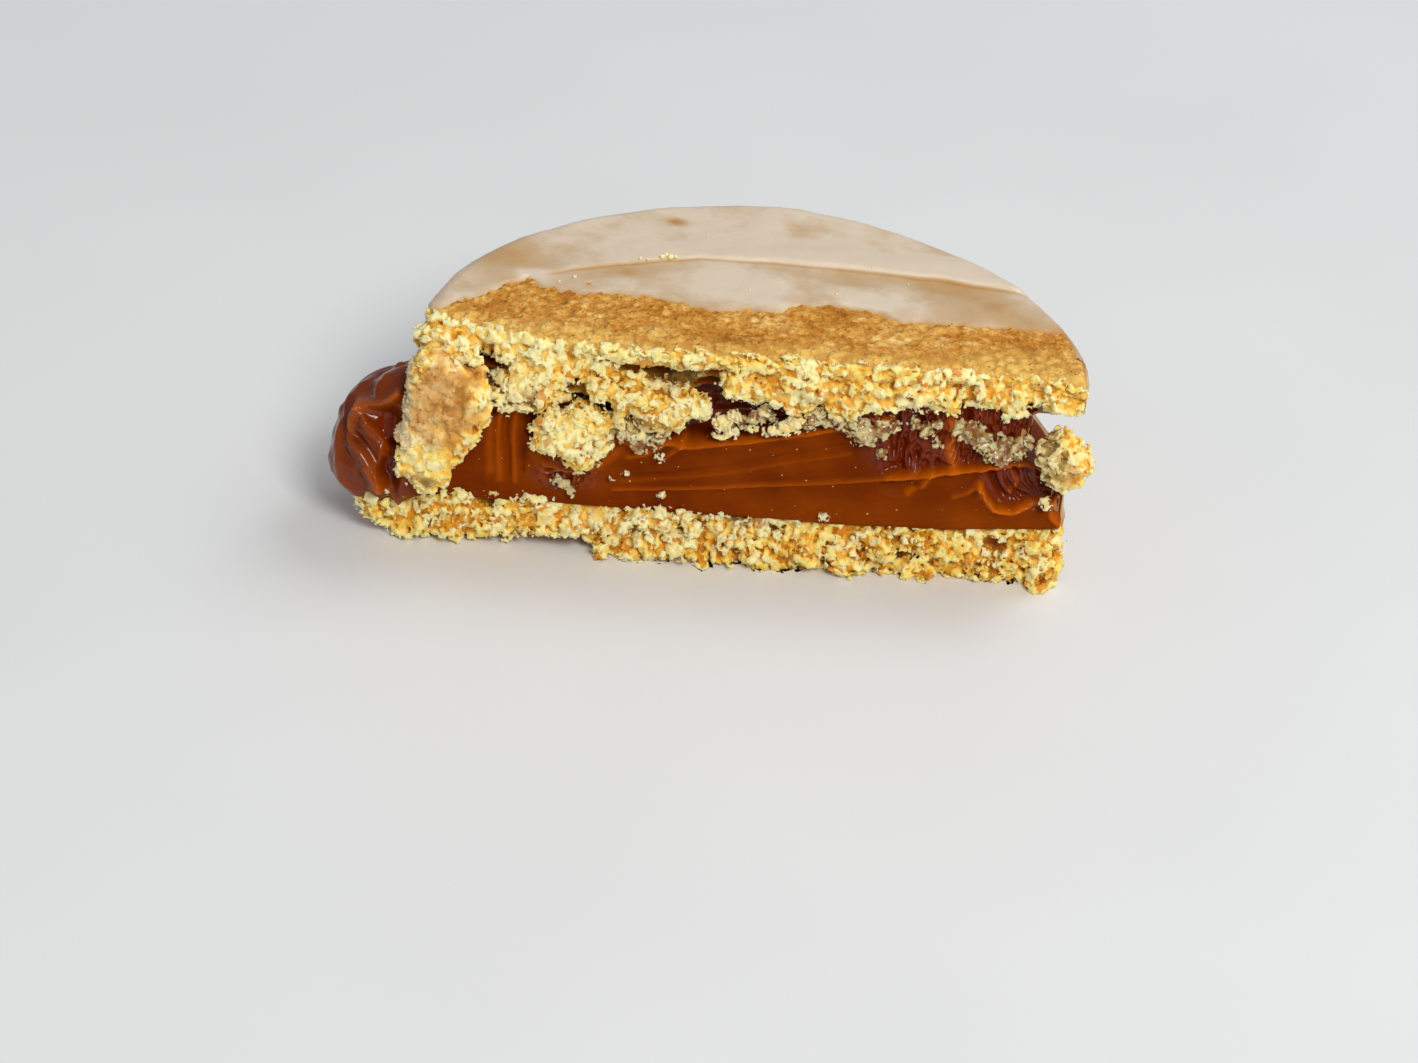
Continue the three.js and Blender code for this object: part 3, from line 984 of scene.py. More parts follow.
def lower_biscuit(settings):
    """The lower biscuit: the baked body, and the broken crumb in front of it."""
    body = lower_shape("LowerBiscuit", RADIUS - 0.15, lambda points: 3.2)
    set_share(body, "edge", 0)
    finish_surface(body, CRUST)
    ride_root(body, "shortbread", "lower_biscuit")
    crumb = lower_shape("LowerCrumb", RADIUS - 0.2, lambda points: 0.9 + hollow_depth(points, LOWER_HOLLOWS))
    under_filling = tuple((x, z - 0.5 * (x > -20)) for x, z in FILLING_FLOOR)
    crumble(crumb, settings, 1, 23, (UNDERSIDE, under_filling, -38.5, 33.8, LOWER_HOLLOWS, 2.0))
    points = points_of(crumb)
    points[:, 2] = np.maximum(points[:, 2], 0)
    set_points(crumb, points)
    ride_root(crumb, "shortbread")


# The pieces that broke away: name, node, front-to-back middle and half depth, squareness, how far the
# granules stand out, and the outline as (z, left, right).
BROKEN_PIECES = (
    (
        "CornerPiece", "corner_piece", -0.5, 2.3, 5.0, 0.6,
        (
            (7.7, -35.6, -32.0), (8.8, -36.2, -31.2), (10.4, -36.7, -31.0), (12.4, -37.1, -29.6),
            (13.9, -37.0, -28.3), (16.4, -36.6, -27.5), (19.3, -36.4, -27.0), (20.8, -36.4, -27.3),
            (21.8, -36.5, -29.4), (22.8, -36.3, -30.8), (23.5, -35.8, -32.4),
        ),
    ),
    (
        "HangingPiece", "hanging_piece", -0.3, 1.9, 2.6, 1.0,
        (
            (11.8, -18.2, -16.6), (12.8, -20.4, -15.2), (13.8, -23.0, -14.5), (15.0, -23.2, -14.3),
            (16.3, -22.2, -14.0), (17.6, -20.4, -14.6), (18.4, -19.2, -15.8),
        ),
    ),
    (
        "EndPiece", "end_piece", -0.6, 2.1, 2.2, 0.8,
        ((13.6, 32.6, 34.8), (14.6, 31.4, 36.2), (16.4, 30.7, 36.6), (18.2, 30.7, 36.2), (19.6, 31.4, 35.0)),
    ),
)


def broken_piece(settings, name, node, middle, half_depth, square, stand, outline):
    """A crumbled lump: a rounded block squeezed into an outline, with smaller lumps sunk into it."""
    heights, lefts, rights = zip(*outline)
    rng = random.Random(len(name) * 5)

    def rounded(points):
        """Takes points to the surface of a block from -1 to 1 with rounded edges."""
        return points / ((np.abs(points) ** square).sum(1) ** (1 / square))[:, None]

    def fitted(points):
        """Takes points of a block from -1 to 1 into the outline."""
        low, high = heights[0] - 0.3, heights[-1] + 0.3
        z = low + (points[:, 2] + 1) / 2 * (high - low)
        left, right = np.interp(z, heights, lefts) + 0.3, np.interp(z, heights, rights) - 0.3
        x = (left + right) / 2 + points[:, 0] * (right - left) / 2
        return np.stack([x, middle + points[:, 1] * half_depth, z], 1)

    obj = started(bpy.ops.mesh.primitive_cube_add, size=2 * MM)
    obj.name = name
    bpy.ops.object.mode_set(mode="EDIT")
    bpy.ops.mesh.subdivide(number_cuts=11)
    bpy.ops.object.mode_set(mode="OBJECT")
    obj.data.transform(Matrix.Translation(CUT_MIDDLE))
    set_points(obj, fitted(rounded(points_of(obj))))
    shapes = lump_shapes(3, 31)
    lumps = []
    width, height = max(rights) - min(lefts), heights[-1] - heights[0]
    for _ in range(int(width * height * 0.75)):
        way = np.array([[rng.gauss(0, 1), rng.gauss(-0.5, 1), rng.gauss(0, 1)]])
        size = rng.uniform(0.5, 1.0)
        lumps.append(copy_lump(rng.choice(shapes), fitted(rounded(way) * 0.88)[0], size, rng))
    remove(shapes)
    join([obj, *lumps])
    remesh(obj, BROKEN_VOXEL)
    granulate(obj, granule_sizes(settings), BROKEN_CELL, WHOLE_DEPTH, sunk=0.25, stand=stand)
    if node == "corner_piece":
        toast_chunk(obj)
    if node == "end_piece":
        set_share(obj, "toast", 0.9 * ellipse(points_of(obj), 34.2, 16.0, 0.8, 1.3, 0.5))
    ride_root(obj, "shortbread", node)


def toast_chunk(obj):
    """Toasts the middle of the chunk and the skin at its left, and makes both smoother and fibrous."""
    points = points_of(obj)
    from_middle = np.hypot((points[:, 0] + 32.4) / 4.6, (points[:, 2] - 19.0) / 5.6)
    toast = fade(from_middle + 0.5 * waves(points, 1.5, 3), 0.6, 1.15) * 0.9
    leftness = fade(points[:, 0] + 0.5 * waves(points, 1.2, 4), -35.9, -35.2)
    skin = leftness * smooth(points[:, 2], 12, 15)
    set_share(obj, "skin", 0.8 * skin)
    set_weights(obj, "toast", np.maximum(toast, skin))
    finish_with(obj, "SMOOTH", factor=0.5, iterations=5, vertex_group="toast")
    roughen(obj, clouds_of(0.7), 0.5, group="toast")
    obj.vertex_groups.clear()


# Crumbs that lie loose or stick in the filling: x, y, z and size.
WHITE_CRUMBS = (
    (-2.9, -0.1, 17.7, 0.9), (-1.9, 0.1, 18.5, 0.7), (1.3, 0.8, 18.9, 0.6), (3.0, 0.0, 17.3, 0.55),
    (3.7, 0.0, 17.7, 0.7), (4.6, 0.0, 18.0, 0.7), (5.2, 0.2, 18.5, 0.55), (2.2, 0.1, 17.0, 0.4),
    (-3.6, 0.1, 16.1, 0.34), (-2.9, 0.1, 15.9, 0.26), (-2.2, 0.2, 16.4, 0.28), (-1.4, 0.2, 16.5, 0.24),
    (0.3, 0.4, 16.9, 0.26), (-9.3, -0.1, 12.9, 0.3), (32.3, -0.2, 10.8, 0.36), (-8.6, -0.1, 8.2, 0.16),
    (26.0, 0.1, 10.6, 0.22), (-12.6, -0.1, 10.6, 0.16), (8.8, -0.1, 7.2, 0.2),
)
SOAKED_CRUMBS = (
    (10.0, 0.4, 18.6, 0.9), (11.2, 0.3, 18.2, 1.0), (12.5, 0.3, 17.6, 1.1), (11.9, 0.2, 16.9, 0.8),
    (13.6, 0.6, 17.9, 0.9), (14.8, 0.9, 18.4, 0.8), (6.6, 0.8, 18.9, 0.8), (22.0, 0.9, 18.6, 0.8),
    (23.2, 0.8, 18.3, 1.0), (24.4, 0.8, 17.6, 1.0), (25.4, 0.8, 16.8, 0.9), (26.4, 0.7, 16.0, 1.0),
    (27.4, 0.7, 15.8, 0.9), (28.3, 0.8, 16.6, 1.0), (29.0, 1.0, 17.3, 0.8), (26.9, 1.0, 17.2, 0.8),
    (-19.2, 0.3, 8.4, 0.4), (-18.2, 0.1, 7.7, 0.3), (-20.0, 0.2, 9.2, 0.3), (-14.2, 0.2, 9.6, 0.3),
    (14.2, 1.0, 14.6, 0.4), (20.1, 1.0, 16.7, 0.4), (-11.4, 0.2, 14.6, 1.0), (-9.6, 0.2, 15.0, 0.9),
    (-13.0, 0.2, 15.4, 0.8), (-0.6, 0.9, 17.4, 0.6), (0.6, 1.0, 18.2, 0.7), (2.0, 1.0, 18.4, 0.6),
    (6.2, 0.7, 18.0, 0.6), (7.6, 0.8, 18.7, 0.7), (8.7, 0.6, 18.5, 0.6), (-1.9, 0.9, 16.9, 0.5),
    (17.4, 0.9, 18.9, 0.5), (18.6, 1.0, 18.3, 0.6), (19.6, 0.9, 19.0, 0.5),
)


def small_crumbs():
    """The white and the soaked crumbs that stick in the filling."""
    rng = random.Random(77)
    for name, places, material in (
        ("WhiteCrumbs", WHITE_CRUMBS, CRUMB),
        ("SoakedCrumbs", SOAKED_CRUMBS, SOAKED_CRUMB),
    ):
        shapes = lump_shapes(3, 61)
        obj = join([copy_lump(rng.choice(shapes), place[:3], place[3], rng, 0.8) for place in places])
        remove(shapes)
        obj.name = name
        remesh(obj, SMALL_VOXEL)
        granulate(obj, (0.8, 0.45), SMALL_CELL, WHOLE_DEPTH, material, sunk=0.1, stand=0.8, holes=0.4)
        set_share(obj, "skin", 0.3)
        set_share(obj, "tone", 0.8)
        ride_root(obj, "shortbread")


# Ridges and grooves that the knife and the tearing left on the filling's face, as (points, width,
# height): points are (x, z), and a negative height is a groove.
RIDGE = (
    (-14, 8.2), (-2.5, 9.5), (8, 10.9), (14.2, 11.9), (18.4, 12.6), (19.7, 13.2), (23.6, 14), (27.8, 14.5),
    (31, 15.2),
)
STROKES = (
    (RIDGE, 0.2, 0.32),
    (tuple((x, z - 0.3) for x, z in FILLING_TOP[2:-1]), 0.35, 0.5),
    (((-12, 9.9), (-0.6, 12.3), (11.8, 15.9)), 0.35, -0.2),
    (((-13, 9.3), (-0.6, 11.5), (10.8, 14.6)), 0.25, 0.14),
    (((-8, 12.6), (0, 13.9), (6, 15.4)), 0.25, -0.12),
    (((15, 12.1), (19.7, 13.2), (23.6, 14), (31, 15.0)), 0.3, 0.35),
    (((19.7, 13.2), (18.9, 11.6), (17.4, 10.5)), 0.35, 0.4),
    (((22.3, 10.5), (23.9, 11.2), (25.0, 11.9)), 0.3, 0.3),
    (
        ((25.0, 11.9), (25.7, 10.6), (26.8, 9.3), (28.7, 9.0), (30.6, 9.9), (32.2, 10.6), (33.2, 10.4)),
        0.35,
        0.75,
    ),
    (((25.0, 12.0), (25.05, 11.9)), 0.4, 0.9),
    (((33.2, 10.4), (33.0, 8.9), (34.4, 7.6)), 0.35, 0.5),
    (((21.1, 19.4), (21.8, 17.8), (21.3, 16.2), (22.0, 14.0)), 0.6, 0.6),
    (((28.3, 13.6), (29.2, 12.3), (28.4, 11.0)), 0.3, 0.3),
    (((-27.4, 16.0), (-27.3, 13.0), (-27.0, 9.4)), 0.45, 0.2),
    (((-26.4, 17.8), (-26.5, 14.0), (-26.0, 8.6)), 0.4, 0.3),
    (((-25.5, 18.4), (-25.6, 15.0), (-25.2, 9.0)), 0.35, -0.25),
    (((-24.6, 17.8), (-24.8, 14.0), (-24.4, 8.4)), 0.3, 0.3),
    (((-23.8, 16.0), (-23.9, 13.0), (-23.6, 9.6)), 0.35, -0.3),
    (((-22.6, 12.4), (-21.2, 10.6), (-18.6, 10.2), (-15.6, 11.0), (-14.0, 12.8)), 0.7, 0.3),
    (((-12.6, 12.4), (-10.6, 13.0), (-9.2, 14.2)), 0.35, 0.35),
    (((-8.6, 12.8), (-7.4, 13.9), (-6.6, 14.9)), 0.3, 0.3),
)
# Strokes on the squeezed-out filling at the left, on the side that faces the viewer.
FOLDS = (
    (((-41.8, 13.0), (-41.5, 14.2), (-40.9, 15.2), (-40.0, 15.9), (-38.4, 16.6), (-37.0, 17.8)), 0.4, 0.75),
    (((-40.8, 14.9), (-39.8, 14.0), (-38.8, 12.8), (-38.0, 11.6)), 0.22, 0.4),
    (((-40.6, 14.2), (-39.6, 13.2), (-38.6, 11.8), (-37.9, 10.6)), 0.2, 0.3),
    (((-40.2, 9.9), (-39.2, 8.6), (-38.7, 7.4), (-38.2, 7.0), (-38.6, 8.4), (-39.0, 9.4)), 0.22, 0.4),
    (((-41.6, 13.0), (-40.1, 12.0), (-38.8, 10.4), (-38.1, 8.8)), 0.35, -0.3),
    (((-42.0, 12.2), (-40.6, 11.2), (-39.4, 9.6), (-38.4, 7.2)), 0.4, 0.35),
    (((-42.6, 11.0), (-41.4, 9.6), (-40.4, 7.6), (-39.6, 5.6)), 0.5, -0.3),
    (((-43.3, 12.4), (-43.2, 9.6), (-42.4, 7.0), (-40.6, 5.0)), 0.6, 0.35),
    (((-38.6, 8.0), (-37.6, 6.4), (-36.6, 5.6)), 0.35, 0.4),
    (((-42.8, 5.0), (-42.2, 4.8)), 0.6, -0.7),
)


def stroke_height(points, line, width, height):
    """The height of one ridge at each point: a rounded wall along a line of (x, z) points."""
    x, z = points[:, 0], points[:, 2]
    nearest = np.full(len(points), 1e9)
    for (x0, z0), (x1, z1) in zip(line, line[1:]):
        length = (x1 - x0) ** 2 + (z1 - z0) ** 2
        share = np.clip(((x - x0) * (x1 - x0) + (z - z0) * (z1 - z0)) / length, 0, 1)
        nearest = np.minimum(nearest, np.hypot(x - x0 - share * (x1 - x0), z - z0 - share * (z1 - z0)))
    return height * np.exp(-((nearest / width) ** 2))


def draw_in(points):
    """Draws the points in where the filling stops short of the rim, at the right under the biscuit."""
    x, y, z = points.T
    radial = np.hypot(x, y)
    share = smooth(x, 16, 23) * smooth(z, 13.6, 15.4) * fade(z, 20.6, 21.6) * fade(y, 18, 25)
    shrink = 1 - share * np.clip(radial - 22, 0, 20) * 0.36 / np.maximum(radial, 1)
    points[:, :2] *= shrink[:, None]


# The rounded lobes of the squeezed-out filling: the middle, and half the size each way.
LOBES = (
    ((-36.6, 5.2, 11.4), (6.8, 7.2, 6.3)),
    ((-38.2, 2.8, 9.2), (6.1, 4.6, 5.2)),
    ((-34.6, 8.6, 11.8), (6.2, 7.0, 4.6)),
    ((-36.0, 3.0, 14.8), (4.8, 3.4, 4.6)),
    ((-35.6, 1.6, 8.6), (4.6, 3.6, 3.6)),
)


def filling():
    """The filling, cut and torn in front, with the part that was squeezed out at the left."""
    obj = half_cylinder("Filling", RADIUS - 1.0, FILLING_LOW, FILLING_HIGH, 0.8, 0.8)
    lobes = []
    for place, half in LOBES:
        lobe = started(bpy.ops.mesh.primitive_ico_sphere_add, subdivisions=4, radius=1)
        lobe.data.transform(Matrix.Translation(at(*place)) @ Matrix.Diagonal((*(Vector(half) * MM), 1)))
        lobes.append(lobe)
    join([obj, *lobes])
    remesh(obj, FILLING_VOXEL)
    finish_with(obj, "SMOOTH", factor=0.5, iterations=4)
    divide_faces(obj, lambda p: (p[:, 1] < 0.7) | (p[:, 0] < -34.5) & (p[:, 1] < 9), 3)
    finish_with(obj, "SMOOTH", factor=0.5, iterations=6)
    points = points_of(obj)
    x, y, z = points.T
    on_bulge = smooth(-x, 34.6, 36.4)
    on_face = fade(y, 0.2, 2.2) * (1 - on_bulge)

    draw_in(points)
    x, y = points[:, 0], points[:, 1]

    ridge = along(RIDGE, x)
    lines = points @ np.array(Matrix.Rotation(math.radians(10), 3, "Y")).T
    face = 0.2 * waves(points * (1, 0, 1), 9, 1) + 0.05 * waves(lines * (0.06, 0, 2.2), 1.0, 2)
    above = smooth(z - along(FILLING_TOP, x), -0.5, 0.7) * fade(x, 8, 11)
    face += 3.2 * above + 0.6 * above * waves(points * (1, 0, 1), 1.6, 21)
    face += 0.35 * smooth(z - ridge, -0.1, 0.3) * smooth(x, -4, 4)
    under_biscuit = smooth(z - along(FILLING_TOP, x) + 2.6, -0.4, 0.4)
    torn = smooth(x, 11, 15.5) * smooth(z - ridge, 0.1, 0.8) * under_biscuit
    slanted = x + 0.5 * (z - 16) + 0.8 * waves(points, 2, 51)
    torn = np.maximum(torn, smooth(slanted, 10.5, 14.5) * smooth(z - ridge, 0.1, 0.8))
    wrinkles = 0.45 * ridged(points * (1.2, 0, 0.45), 1.1, 4) + 0.2 * ridged(points * (2.2, 0, 1.0), 1.0, 24)
    face += torn * (0.8 + wrinkles + 0.4 * waves(points * (1, 0, 1), 1.6, 5))
    crater = ellipse(points, 29.3, 12.1, 4.4, 2.6)
    around = np.stack([np.hypot(x - 33, z - 15) * 1.6, 0 * x, np.arctan2(z - 15, x - 33) * 1.2], 1)
    swirl = ridged(around, 1.0, 6)
    face += crater * (1.3 + 0.5 * swirl)
    face += 0.6 * ellipse(points, 16.6, 11.1, 2.0, 0.9) + 1.5 * ellipse(points, 34.0, 9.6, 0.9, 1.5)
    face += 1.6 * ellipse(points, -22.2, 15.8, 1.3, 2.2) + 0.8 * ellipse(points, -28.2, 17.2, 1.4, 1.2)
    face += 0.25 * waves(points * (1.6, 0, 0.16), 1.0, 22) * ellipse(points, -25.4, 12.6, 3.6, 6, 0.3)
    points[:, 2] += (along(FILLING_FLOOR, x) - 6.2) * fade(z, 6.2, 9) * smooth(x, 0, 10)
    drips = ellipse(points, -19.0, 9.4, 3.2, 1.6, 0.5)
    face += drips * (0.3 + 0.5 * ridged(points * (1, 0, 1.3), 1.2, 26))
    # Painted light: raised strokes and folds are coloured a brighter orange.
    ridge_light = np.zeros(len(points))
    uneven = waves(points, 0.9, 23)
    for line, width, height in STROKES:
        stroke = stroke_height(points, line, width, height)
        face -= stroke * (1 + 0.5 * uneven)
        ridge_light += np.clip(stroke, 0, 1)
    points[:, 1] = y + (face + 0.4) * on_face
    normals = normals_of(obj)
    on_bulge *= fade(y, 5, 8)
    folds = 0.35 * waves(points, 2.6, 7) - 0.2 * ridged(points * (1, 1, 0.6), 2.0, 8)
    for line, width, height in FOLDS:
        stroke = 1.3 * stroke_height(points, line, width, height)
        folds += stroke
        ridge_light += np.clip(stroke, 0, 1) * 0.5 * on_bulge
    dent = ellipse(points, -38.3, 14.2, 1.5, 2.2, 0.5) + ellipse(points, -37.6, 9.5, 0.9, 3.4, 0.6)
    folds -= 1.6 * dent
    points += normals * (folds * on_bulge)[:, None]
    set_points(obj, points)
    flat = on_face * (1 - np.clip(above + torn + crater, 0, 1))
    # Painted shade: the dent in the squeezed-out filling is coloured dark like the torn filling.
    set_share(obj, "torn", np.clip((above + torn + crater) * on_face + (0.05 + 0.9 * dent) * on_bulge, 0, 1))
    set_share(obj, "gloss", np.clip((above + torn + crater + drips) * on_face + on_bulge, 0, 1))
    lighter = 0.14 * fade(z, 7.5, 11) * smooth(x, -4, 6)
    # Painted light on the ridges and folds; the face is also made lighter towards its lower right.
    set_share(obj, "ridge", np.clip(ridge_light * 1.1 + lighter, 0, 1) * (on_face + on_bulge * 0.8))
    set_share(obj, "crumb", flat)
    finish_surface(obj, CARAMEL)
    ride_root(obj, "dulce_de_leche", "filling")


# Where the icing slid and creased, as (x, y).
ICING_CREASE = (
    (-36, 12.0), (-30, 12.6), (-22.8, 15.1), (-17, 17.6), (-6.2, 20.7), (2, 21.0), (11, 20.8), (19.6, 20.5),
    (28.1, 18.9), (36, 17),
)
# Crumbs that lie on the icing: x, y and size.
ICING_CRUMBS = (
    (-10.3, 20.2, 0.32), (-9.9, 20.6, 0.36), (-9.4, 20.3, 0.4), (-8.9, 20.5, 0.26), (-12.7, 19.5, 0.22),
    (-11.9, 19.4, 0.15), (8.6, 14.7, 0.16), (-0.8, 14.2, 0.15), (-19.6, 14.8, 0.2), (-18.0, 13.4, 0.22),
    (-21.2, 13.6, 0.18), (2.4, 16.8, 0.1), (16.5, 18.8, 0.12), (-5.5, 26.0, 0.1), (12.6, 21.5, 0.1),
)
# Spots in the icing: x, y, size, and how much whiter or browner.
ICING_SPOTS = (
    (-8.9, 29.4, 0.9, -0.9),
    (1.5, 30.3, 1.4, 0.35),
    (13.3, 25.7, 2.2, -0.3),
    (9.1, 26.6, 3.0, 0.3),
    (-13.8, 16.6, 1.2, -0.3),
    (-20.0, 24.0, 3.0, -0.1),
    (20.0, 16.0, 3.4, -0.2),
    (-24.3, 15.0, 1.6, 0.5),
    (-28.0, 18.0, 5.0, -0.35),
    (32.0, 9.5, 4.0, -0.6),
    (24.0, 18.0, 5.0, -0.12),
    (26.0, 15.5, 2.2, -0.35),
    (12.0, 13.6, 2.6, 0.3),
    (22.0, 13.0, 3.0, -0.3),
    (-4.0, 23.0, 2.2, 0.25),
    (22.0, 22.5, 2.6, -0.3),
    (-3.0, 16.5, 5.0, 0.3),
    (18.0, 23.5, 4.0, -0.4),
    (27.5, 13.5, 3.2, -0.25),
)


def icing(settings):
    """The icing over the top and the round side, creased where it slid, with a few crumbs on it."""

    def by_crease(middles):
        """The faces along the crease."""
        return (np.abs(from_edge(middles, ICING_CREASE)) < 1.2) & (middles[:, 2] > RIM_HEIGHT - 1)

    obj = half_cylinder("Icing", RADIUS - 0.2, ICING_LOW, RIM_HEIGHT, settings.rim_rounding / MM, 0)
    remesh(obj, ICING_VOXEL)
    divide_faces(obj, by_crease, 2)
    points = points_of(obj)
    x, y, z = points.T
    normals = normals_of(obj)
    radial = np.hypot(x, y)
    on_side = smooth(radial, RADIUS - 3.2, RADIUS - 0.6) * fade(z, RIM_HEIGHT - 1.6, RIM_HEIGHT - 0.2)
    height = smooth(z, 12, RIM_HEIGHT)
    points[:, 2] += dome_height(settings, x, y) * height - 0.15 * height
    inside_edge = from_edge(points, ICING_EDGE) + 0.6 * waves(points, 3, 12) + 0.35 * waves(points, 1.1, 13)
    top_cover = smooth(inside_edge, -1.6, 0.6)
    drip = 7.4 + 2.2 * waves(points * (1, 1, 0), 7, 14) + 0.8 * waves(points * (1, 1, 0), 2.2, 15)
    side_edge = np.minimum(y - 1.2, 1.3 * (z - drip))
    bare_left = np.where(z < 18, y - 12, from_edge(points, CRUST_EDGE) - 1.5)
    side_edge = np.where(x < 0, np.minimum(side_edge, bare_left), side_edge)
    open_end = ellipse(np.stack([y, 0 * y, z], 1), 8, 17.2, 11, 3.8) * (x > 0)
    side_edge -= 6 * open_end
    side_cover = smooth(side_edge + 0.5 * waves(points, 1.8, 16), 0.0, 1.8)
    cover = top_cover * (1 - on_side) + side_cover * on_side
    from_crease = from_edge(points, ICING_CREASE) + 0.25 * waves(points, 4, 19)
    fold = smooth(x, -25, -18) * fade(x, 27, 31)
    behind_crease = smooth(from_crease, 0, 0.8) * fade(from_crease, 1.2, 7)
    crease = -0.16 * np.exp(-((from_crease / 0.3) ** 2)) + (0.12 + 0.14 * smooth(x, -6, 4)) * behind_crease
    crease -= 0.14 * smooth(-from_crease, 0, 0.6) * fade(-from_crease, 0.8, 5)
    thickness = -0.55 + 0.95 * cover + 0.16 * waves(points, 5, 17) + 0.06 * waves(points, 1.6, 18)
    thickness += crease * fold * (1 - on_side)
    thickness -= 0.9 * (1 - side_cover) * on_side
    waist = (0.8 + 0.6 * open_end) * on_side * fade(np.abs(z - 13.5), 3, 7.5)
    points += normals * (thickness - waist)[:, None]
    draw_in(points)
    swell(points)
    in_biscuit = smooth(z, 17, 18.5)
    behind = 6 * (1 - on_side) + on_side * (in_biscuit * (along(CRUST_EDGE, x) + 1.2) - 0.2)
    behind = np.maximum(behind, in_biscuit * (along(CRUST_EDGE, x) + 1.2))
    front = (normals[:, 1] < -0.3) & (y < 3) | (normals[:, 2] < -0.5) & (y < 6) & (radial < RADIUS - 2)
    points[front, 1] = np.maximum(points[front, 1], behind[front])
    early = points[:, 1] < behind
    points[early, 1] += (behind - points[:, 1])[early] * in_biscuit[early]
    set_points(obj, points)
    whiter = 0.6 * fold * smooth(from_crease, 0.0, 0.8) * fade(from_crease, 2, 7) * smooth(x, -12, 0)
    # Painted shade: a darker line along the crease, before the spots in the icing are added.
    marks_and_crease_shade = -0.3 * fold * np.exp(-((from_crease / 0.3) ** 2))
    for spot_x, spot_y, size, depth in ICING_SPOTS:
        marks_and_crease_shade += depth * np.exp(-(((x - spot_x) / size) ** 2) - ((y - spot_y) / size / 0.8) ** 2)
    thick = 0.44 + 0.1 * smooth(y, 18, 24) + 1.1 * (thickness - 0.2) + whiter + marks_and_crease_shade
    set_share(obj, "thick", np.clip(thick, 0, 1))
    finish_surface(obj, SUGAR_ICING)
    ride_root(obj, "iced_shortbread")
    icing_crumbs(points)


def icing_crumbs(points):
    """Pale crumbs that lie on the icing, which has these points."""
    rng = random.Random(99)
    shapes = lump_shapes(3, 71, 2)
    lying = []
    for x, y, size in ICING_CRUMBS:
        near = np.hypot(points[:, 0] - x, points[:, 1] - y) < 0.7
        place = (x, y, points[near, 2].max() + size * 0.1)
        lying.append(copy_lump(rng.choice(shapes), place, size, rng))
    remove(shapes)
    crumbs = join(lying)
    crumbs.name = "IcingCrumbs"
    # Painted light: these crumbs are coloured all over like lit granule tips.
    set_share(crumbs, "rise", 1)
    set_share(crumbs, "tone", 3)
    finish_surface(crumbs, CRUMB)
    ride_root(crumbs, "iced_shortbread")


# Granules --------------------------------------------------------------------------------------------


def granule_tree(shapes, spacing, size, sunk, seed):
    """A node group that strews granules over the crumbly part of a mesh, and keeps only them."""
    tree, node, mesh = new_group("strewn granules")
    share = node("GeometryNodeInputNamedAttribute", {"Name": "crumb_share"}, data_type="FLOAT")[0]
    spread = {
        "Mesh": mesh,
        "Distance Min": spacing * MM,
        "Density Max": 2.2 / (spacing * MM) ** 2,
        "Density Factor": share,
        "Seed": seed,
    }
    points = node("GeometryNodeDistributePointsOnFaces", spread, distribute_method="POISSON")
    tone = node("FunctionNodeRandomValue", {2: 0, 3: 1, "Seed": seed + 1}, data_type="FLOAT")[1]
    toned = {"Geometry": points["Points"], "Name": "tone_share", "Value": tone}
    toned = node("GeometryNodeStoreNamedAttribute", toned, data_type="FLOAT", domain="POINT")[0]
    sink = node("ShaderNodeVectorMath", (points["Normal"], (-sunk * MM,) * 3), operation="MULTIPLY")[0]
    sunken = node("GeometryNodeSetPosition", {"Geometry": toned, "Offset": sink})[0]
    kinds = {"Collection": shapes, "Separate Children": True, "Reset Children": True}
    kinds = node("GeometryNodeCollectionInfo", kinds)[0]
    turns = {0: (0, 0, 0), 1: (math.tau,) * 3, "Seed": seed + 2}
    turn = node("FunctionNodeRandomValue", turns, data_type="FLOAT_VECTOR")[0]
    scale = node("FunctionNodeRandomValue", {2: size[0], 3: size[1], "Seed": seed + 3}, data_type="FLOAT")[1]
    placed = {"Points": sunken, "Instance": kinds, "Pick Instance": True, "Rotation": turn, "Scale": scale}
    placed = node("GeometryNodeInstanceOnPoints", placed)[0]
    node("NodeGroupOutput", (node("GeometryNodeRealizeInstances", {"Geometry": placed})[0],))
    return tree


def strew(name, surface, slot, shapes, spacing, size, seed, sunk=0.0, material=CRUMB):
    """Granules over a piece's crumbly part, as a piece of its own."""
    source = bpy.data.objects[surface]
    obj = source.copy()
    obj.data = source.data.copy()
    obj.name = name
    bpy.context.scene.collection.objects.link(obj)
    for key in list(obj.keys()):
        del obj[key]
    obj.parent = None
    finish_with(obj, "NODES", node_group=granule_tree(shapes, spacing, size, sunk, seed))
    obj.vertex_groups.clear()
    finish_surface(obj, material)
    ride_root(obj, slot)


def granules():
    """Fine grains on all broken faces, crystals in the filling, and baked grains on the crust."""
    fine = bpy.data.collections.new("fine granules")
    shapes = lump_shapes(5, 51, sides=1, roughness=1.0)
    for shape in shapes:
        for known in shape.users_collection:
            known.objects.unlink(shape)
        fine.objects.link(shape)
    strew("UpperCrumbGrit", "UpperCrumb", "iced_shortbread", fine, 0.8, (0.09, 0.2), 5)
    for surface in ("LowerCrumb", "CornerPiece", "HangingPiece", "EndPiece"):
        strew(surface + "Grit", surface, "shortbread", fine, 0.8, (0.09, 0.2), 5)
    strew("FillingSpecks", "Filling", "dulce_de_leche", fine, 2.4, (0.05, 0.12), 14)
    strew("CrustGrains", "UpperBiscuit", "iced_shortbread", fine, 0.85, (0.25, 0.52), 9, 0.26, CRUST)
    remove(shapes)
    bpy.data.collections.remove(fine)


# Stage -----------------------------------------------------------------------------------------------

